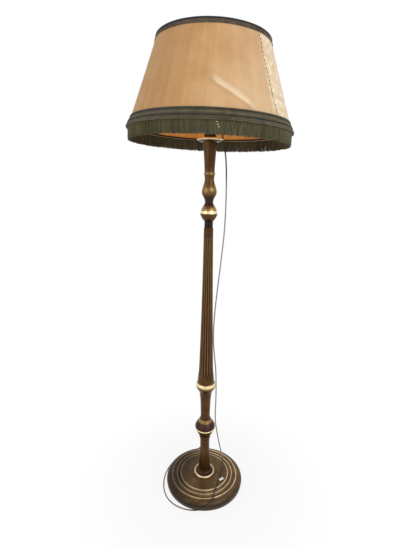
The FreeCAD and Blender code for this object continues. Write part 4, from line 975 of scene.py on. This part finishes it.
thread_section = threads.node("GeometryNodeCurvePrimitiveCircle", {},
                              {"Resolution": 4, "Radius": threads.size("Thickness") * 0.5})
thread_body = threads.node("GeometryNodeCurveToMesh", {},
                           {0: thread_line, "Profile Curve": thread_section, "Fill Caps": True})
thread_x = threads.node("ShaderNodeSeparateXYZ", {}, {0: thread_place}, "X")
thread_turn = thread_x.math("ARCTAN2", thread_x.also("Y"), thread_x)
thread_tilt = threads.vector((clump - 0.5) * 0.10 + threads.chance(-0.035, 0.035, 23),
                             threads.chance(-0.01, 0.075, 24), thread_turn)
thread_scale = threads.vector(1.0, 1.0, threads.chance(0.90, 1.05, 25) + (clump - 0.5) * 0.14)
kept_share = threads.chance(0.0, 1.0, 26)
thread_set = threads.node("GeometryNodeInstanceOnPoints", {}, {
    "Points": thread_ring, "Instance": thread_body, "Rotation": thread_tilt, "Scale": thread_scale,
    "Selection": kept_share.math("GREATER_THAN", kept_share, 0.01)})
thread_set = threads.node("GeometryNodeStoreNamedAttribute", {"data_type": "FLOAT", "domain": "INSTANCE"},
                          {0: thread_set, "Name": "tone", "Value": threads.chance(0.0, 1.0, 27)})
threads.close(thread_set)
outer_threads = threads.piece("fringe_outer", fringe_finish, {
    "Count": 1620, "Radius": COVER_LOW_R - 0.0002, "Height": FRINGE_HIGH_Z, "Length": FRINGE_L,
    "Thickness": THREAD_D, "Stray": 0.0005})
inner_threads = threads.piece("fringe_inner", fringe_finish, {
    "Count": 1500, "Radius": COVER_LOW_R - 0.0014, "Height": FRINGE_HIGH_Z, "Length": FRINGE_L,
    "Thickness": THREAD_D, "Stray": 0.0006})
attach(outer_threads, "shade")
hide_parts("fringe")
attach(inner_threads, "shade")

# Painted highlights: three short pale bars lie across the front of the fringe, where light shines through its
# threads.
GLINT_HIGH_Z = 1.4175
GLINT_PITCH = 0.0062
glint_thread = sewing("pale joining stitches", (190, 176, 140), (226, 216, 186), 2600.0)
for step in range(3):
    drop = Vector((0.0, 0.0, GLINT_HIGH_Z - GLINT_PITCH * step - SHADE_LOW_Z))
    azimuth = -86.1 + 0.5 * step
    ends = [SHADE_LEAN @ on_cone(azimuth + side, SHADE_LOW_Z, 0.0040 + 0.0004 * abs(side)) + drop
            for side in (-0.55, 0.0, 0.55)]
    bar = piped("fringe_join_%d" % (step + 1), ends, 0.0011, glint_thread)
    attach(bar, "shade")


# ---------------------------------------------------------------- lead and plug
# A round dark brown two-core flex, 5 mm thick. It leaves the gland under the bulb, hangs down behind the
# pan, follows the pole to the base and lies round it on the floor; the rest is coiled behind the pole.
FLEX_D = 0.005
flex_paint = Finish("dark flex")
flex_dust = flex_paint.noise(flex_paint.place, 160.0, 4.0)
flex_grain = flex_paint.noise(flex_paint.place, 1300.0, 2.0)
flex_patch = flex_paint.ease(flex_dust, 0.40, 0.75)
# Painted light and shade: the flex is painted paler where it hangs in the light beside the pole and lies on the
# floor, and stays dark under the shade and on the base, where shade falls. Its real colour there isn't known.
flex_paler_where_lit = flex_paint.ease(flex_paint.z, 0.056, 0.10) * (1.0 - flex_paint.ease(flex_paint.z, 1.22, 1.31))
flex_paler_where_lit = flex_paler_where_lit + (1.0 - flex_paint.ease(flex_paint.z, 0.006, 0.020)) * 0.6
flex_finish = flex_paint.surface({
    "Base Color": flex_paint.blend(flex_paler_where_lit, flex_paint.blend(flex_patch, tint(34, 25, 19), tint(66, 54, 44)),
                                   flex_paint.blend(flex_patch, tint(146, 141, 137), tint(178, 174, 171))),
    "Roughness": 0.40 + 0.25 * flex_dust + 0.10 * flex_grain,
    "Normal": flex_paint.bump(flex_grain, 0.0003, 0.6),
})
LEAD = [
    (0.030735, 0.014332, 1.436619),
    (0.0416, 0.0194, 1.4232), (0.0455, 0.0265, 1.4), (0.0515, 0.0285, 1.376), (0.0565, 0.0285, 1.346),
    (0.0595, 0.028, 1.304), (0.061, 0.027, 1.25), (0.0615, 0.026, 1.182), (0.0595, 0.025, 1.092),
    (0.05, 0.024, 0.982), (0.038, 0.023, 0.862), (0.0295, 0.0225, 0.764), (0.0265, 0.023, 0.69),
    (0.028, 0.0245, 0.63), (0.0335, 0.0275, 0.576), (0.0395, 0.031, 0.526), (0.042, 0.033, 0.474),
    (0.0435, 0.033, 0.424), (0.0435, 0.033, 0.372), (0.0425, 0.034, 0.322), (0.043, 0.036, 0.276),
    (0.0485, 0.0385, 0.232), (0.056, 0.042, 0.19), (0.063, 0.046, 0.152), (0.0695, 0.049, 0.121),
    (0.075, 0.0498, 0.095), (0.0794, 0.0476, 0.073), (0.0812, 0.04, 0.059), (0.08, 0.0265, 0.0506),
    (0.076, 0.008, 0.0502), (0.069, -0.014, 0.0502), (0.0615, -0.038, 0.0502), (0.054, -0.071, 0.0504),
    (0.046, -0.104, 0.051), (0.0375, -0.136, 0.0475), (0.0255, -0.159, 0.0395), (0.004, -0.1715, 0.029),
    (-0.026, -0.17, 0.018), (-0.058, -0.1605, 0.008), (-0.09, -0.148, 0.0032), (-0.121, -0.131, 0.0027),
    (-0.148, -0.105, 0.0027), (-0.166, -0.069, 0.0027), (-0.1745, -0.028, 0.0027), (-0.1735, 0.016, 0.0027),
    (-0.163, 0.059, 0.0027), (-0.1425, 0.1, 0.0027), (-0.112, 0.135, 0.0027), (-0.074, 0.161, 0.0027),
    (-0.038, 0.179, 0.0027), (-0.013, 0.205, 0.0027), (-0.01, 0.242, 0.0027), (-0.023, 0.275, 0.0027),
    (-0.0345, 0.308, 0.0027),
]
COIL_Y = 0.345
COIL_R = 0.0335
COIL_PITCH = 0.0057
COIL_TURNS = 5
STEPS = 16
# The spline lies inside its control points by this share on a round coil of sixteen points a turn.
PULL_IN = 0.981


def coil_place(turn):
    """A control point of the coil: in on the floor, up a layer, and out on top."""
    middle = COIL_TURNS / 2
    radius = (COIL_R - COIL_PITCH * (middle - abs(turn - middle))) / PULL_IN
    angle = math.pi - 2.0 * math.pi * turn
    climb = min(1.0, max(0.0, (turn - middle + 0.25) / 0.5))
    return radius * math.cos(angle), COIL_Y + radius * math.sin(angle), 0.0027 + COIL_PITCH * climb


LEAD += [coil_place(step / STEPS) for step in range(COIL_TURNS * STEPS + 1)]
LEAD += [
    (-0.0338, 0.357, 0.0084), (-0.0315, 0.3705, 0.0084), (-0.025, 0.381, 0.0080), (-0.014, 0.388, 0.0073),
    (-0.0055, 0.393, 0.0070), (-0.004, 0.399, 0.00695), (-0.004, 0.404, 0.00695),
]
lead_line = bpy.data.curves.new("lead", "CURVE")
lead_line.dimensions = "3D"
lead_line.bevel_depth = FLEX_D / 2
lead_line.bevel_resolution = 3
lead_line.resolution_u = 6
lead_line.use_fill_caps = True
lead_spline = lead_line.splines.new("NURBS")
lead_spline.points.add(len(LEAD) - 1)
for point, place in zip(lead_spline.points, LEAD):
    point.co = (*place, 1.0)
lead_spline.order_u = 3
lead_spline.use_endpoint_u = True
lead_line.materials.append(flex_finish)
lead = bpy.data.objects.new("lead", lead_line)
bpy.context.collection.objects.link(lead)

rubber = Finish("black rubber relief")
rubber_dust = rubber.noise(rubber.place, 240.0, 4.0)
rubber_black = rubber.surface({
    "Base Color": rubber.blend(rubber_dust, tint(20, 19, 19), tint(52, 50, 48)),
    "Roughness": 0.62 + 0.24 * rubber_dust,
    "Normal": rubber.bump(rubber_dust, 0.0004),
})
RELIEF_START = Vector((0.018606, 0.008676, 1.451482))
RELIEF_WAY = Vector(LEAD[0]) - RELIEF_START
RELIEF_RINGS = 80
RELIEF_FACETS = 24
relief_turn = RELIEF_WAY.to_track_quat("Z", "Y")
relief_points = []
for ring in range(RELIEF_RINGS + 1):
    share = ring / RELIEF_RINGS
    groove = 0.00055 * max(0.0, math.sin(share * 12.0 * math.pi)) ** 0.5 if 0.08 < share < 0.92 else 0.0
    radius = 0.0040 - 0.0008 * share - groove
    for facet in range(RELIEF_FACETS):
        angle = 2.0 * math.pi * facet / RELIEF_FACETS
        across = Vector((radius * math.cos(angle), radius * math.sin(angle), 0.0))
        relief_points.append(RELIEF_START + RELIEF_WAY * share + relief_turn @ across)
relief_faces = [tuple(range(RELIEF_FACETS - 1, -1, -1)),
                tuple(RELIEF_RINGS * RELIEF_FACETS + facet for facet in range(RELIEF_FACETS))]
for ring in range(RELIEF_RINGS):
    for facet in range(RELIEF_FACETS):
        here = ring * RELIEF_FACETS
        after = (facet + 1) % RELIEF_FACETS
        relief_faces.append((here + facet, here + after, here + RELIEF_FACETS + after, here + RELIEF_FACETS + facet))
relief = meshed("ribbed_relief", relief_points, relief_faces, rubber_black)
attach(relief, "stand")
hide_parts("flex_relief")

plug_paint = Finish("dark moulded plug")
plug_scuff = plug_paint.noise(plug_paint.place, 210.0, 5.0, 0.65)
dress(plug_paint.surface({
    "Base Color": plug_paint.blend(plug_paint.ease(plug_scuff, 0.50, 0.74), tint(30, 23, 20), tint(72, 62, 54)),
    "Roughness": 0.36 + 0.34 * plug_scuff,
    "Normal": plug_paint.bump(plug_scuff, 0.0003),
}), "plug_body")
dress(worked_metal("plug pin brass", (214, 186, 120), (150, 118, 70), 1.0, 0.24), "plug_pins")


# ---------------------------------------------------------------- paper tag
# A small blank card tag that has slipped down the lead and lies on the base. It curls up a little at its
# free end, and nothing is written on it.
paper = Finish("blank card")
pulp = paper.noise(paper.place, 1400.0, 3.0)
card_tone = paper.noise(paper.place, 90.0, 3.0)
card = paper.surface({
    "Base Color": paper.blend(card_tone, tint(250, 248, 244), tint(254, 254, 252)),
    "Roughness": 0.80 + 0.12 * pulp,
    "Normal": paper.bump(pulp, 0.0003),
})
TAG_PLACE = Vector((0.0715, -0.0440, 0.0468))
TAG_TURN = math.radians(24.0)
TAG_L = 0.020
TAG_W = 0.011
TAG_CURL = 0.0035
TAG_COLUMNS, TAG_ROWS = 16, 8
tag_points = []
for column in range(TAG_COLUMNS + 1):
    for row in range(TAG_ROWS + 1):
        x = (column / TAG_COLUMNS - 0.5) * TAG_L
        y = (row / TAG_ROWS - 0.5) * TAG_W
        lift = TAG_CURL * (column / TAG_COLUMNS) ** 2
        tag_points.append(TAG_PLACE + Vector((x * math.cos(TAG_TURN) - y * math.sin(TAG_TURN),
                                              x * math.sin(TAG_TURN) + y * math.cos(TAG_TURN), lift)))
tag_faces = []
for column in range(TAG_COLUMNS):
    for row in range(TAG_ROWS):
        corner = column * (TAG_ROWS + 1) + row
        tag_faces.append((corner, corner + TAG_ROWS + 1, corner + TAG_ROWS + 2, corner + 1))
tag = meshed("paper_tag", tag_points, tag_faces, card)
tag_wall = tag.modifiers.new("card", "SOLIDIFY")
tag_wall.thickness = 0.0004
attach(tag, "stand")

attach(lead, "stand")
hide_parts("cord", "cord_coil")


# ---------------------------------------------------------------- floor, light and camera
# A pale floor that fades to white, a large soft lamp on the right, a weaker one on the left, and the
# camera where the photograph was taken from.
FLOOR_HALF = 12
ground = Finish("pale floor")
lit = ground.node("ShaderNodeBsdfDiffuse", {}, {"Color": (0.86, 0.86, 0.86)})
white = ground.node("ShaderNodeEmission", {}, {"Color": (1.0, 1.0, 1.0), "Strength": 1.0})
rays = ground.node("ShaderNodeLightPath", {}, {}, "Is Camera Ray")
seen = rays.math("MAXIMUM", rays, rays.also("Is Glossy Ray"))
seen = seen.math("MAXIMUM", seen, rays.also("Is Transmission Ray"))
away = ground.ease(ground.radius, 0.20, 0.60)
share = seen * (0.86 + 0.14 * away)
mixed = ground.node("ShaderNodeMixShader", {}, {0: share, 1: lit, 2: white})
ground.plug(ground.nodes.nodes["Material Output"].inputs["Surface"], mixed)
ground.nodes.nodes.remove(ground.nodes.nodes["Principled BSDF"])
floor_corners = [(x * FLOOR_HALF, y * FLOOR_HALF, 0) for x, y in ((-1, -1), (1, -1), (1, 1), (-1, 1))]
floor = meshed("floor", floor_corners, [(0, 1, 2, 3)], ground.material)

world = bpy.data.worlds.new("soft daylight")
world.use_nodes = True
bpy.context.scene.world = world
sky = Tree(world.node_tree)
sky_rays = sky.node("ShaderNodeLightPath", {}, {}, "Is Camera Ray")
sky_seen = sky_rays.math("MAXIMUM", sky_rays, sky_rays.also("Is Glossy Ray"))
sky_seen = sky_seen.math("MAXIMUM", sky_seen, sky_rays.also("Is Transmission Ray"))
backdrop = world.node_tree.nodes["Background"]
backdrop.inputs["Color"].default_value = (1.0, 1.0, 1.0, 1.0)
sky.plug(backdrop.inputs["Strength"], 0.50 + 0.50 * sky_seen)


def soft_lamp(name, place, target, size, power, colour):
    lamp = bpy.data.lights.new(name, "AREA")
    lamp.shape = "DISK"
    lamp.size = size
    lamp.energy = power
    lamp.color = colour
    holder = bpy.data.objects.new(name, lamp)
    holder.location = place
    holder.rotation_euler = (Vector(target) - Vector(place)).to_track_quat("-Z", "Y").to_euler()
    bpy.context.collection.objects.link(holder)


soft_lamp("window_light", (2.2, -2.4, 2.6), (0.0, 0.0, 1.1), 2.5, 61.0, (1.0, 0.98, 0.95))
soft_lamp("room_light", (-2.5, -2.0, 1.6), (0.0, 0.0, 1.0), 2.5, 22.0, (1.0, 0.97, 0.93))

# The camera stands at shade height, looks down at the base and leans a little.
SENSOR = 36.0
PHOTO_HEIGHT = 547
FOCAL_PIXELS = 366.12
CAMERA_PLACE = Vector((0.0, -1.3207, 1.2761))
PITCH = math.radians(14.636)
ROLL = math.radians(0.9105)
YAW = math.radians(-0.4483)
forward = Vector((math.sin(YAW) * math.cos(PITCH), math.cos(YAW) * math.cos(PITCH), -math.sin(PITCH)))
right = Vector((math.cos(YAW), -math.sin(YAW), 0.0))
upward = right.cross(forward)
right_rolled = math.cos(ROLL) * right + math.sin(ROLL) * upward
up_rolled = -math.sin(ROLL) * right + math.cos(ROLL) * upward
turn = Matrix((right_rolled, up_rolled, -forward)).transposed()
camera_data = bpy.data.cameras.new("camera")
camera_data.sensor_width = SENSOR
camera_data.lens = FOCAL_PIXELS / PHOTO_HEIGHT * SENSOR
camera = bpy.data.objects.new("camera", camera_data)
camera.matrix_world = Matrix.Translation(CAMERA_PLACE) @ turn.to_4x4()
bpy.context.collection.objects.link(camera)
bpy.context.scene.camera = camera
bpy.context.scene.view_settings.view_transform = "Standard"
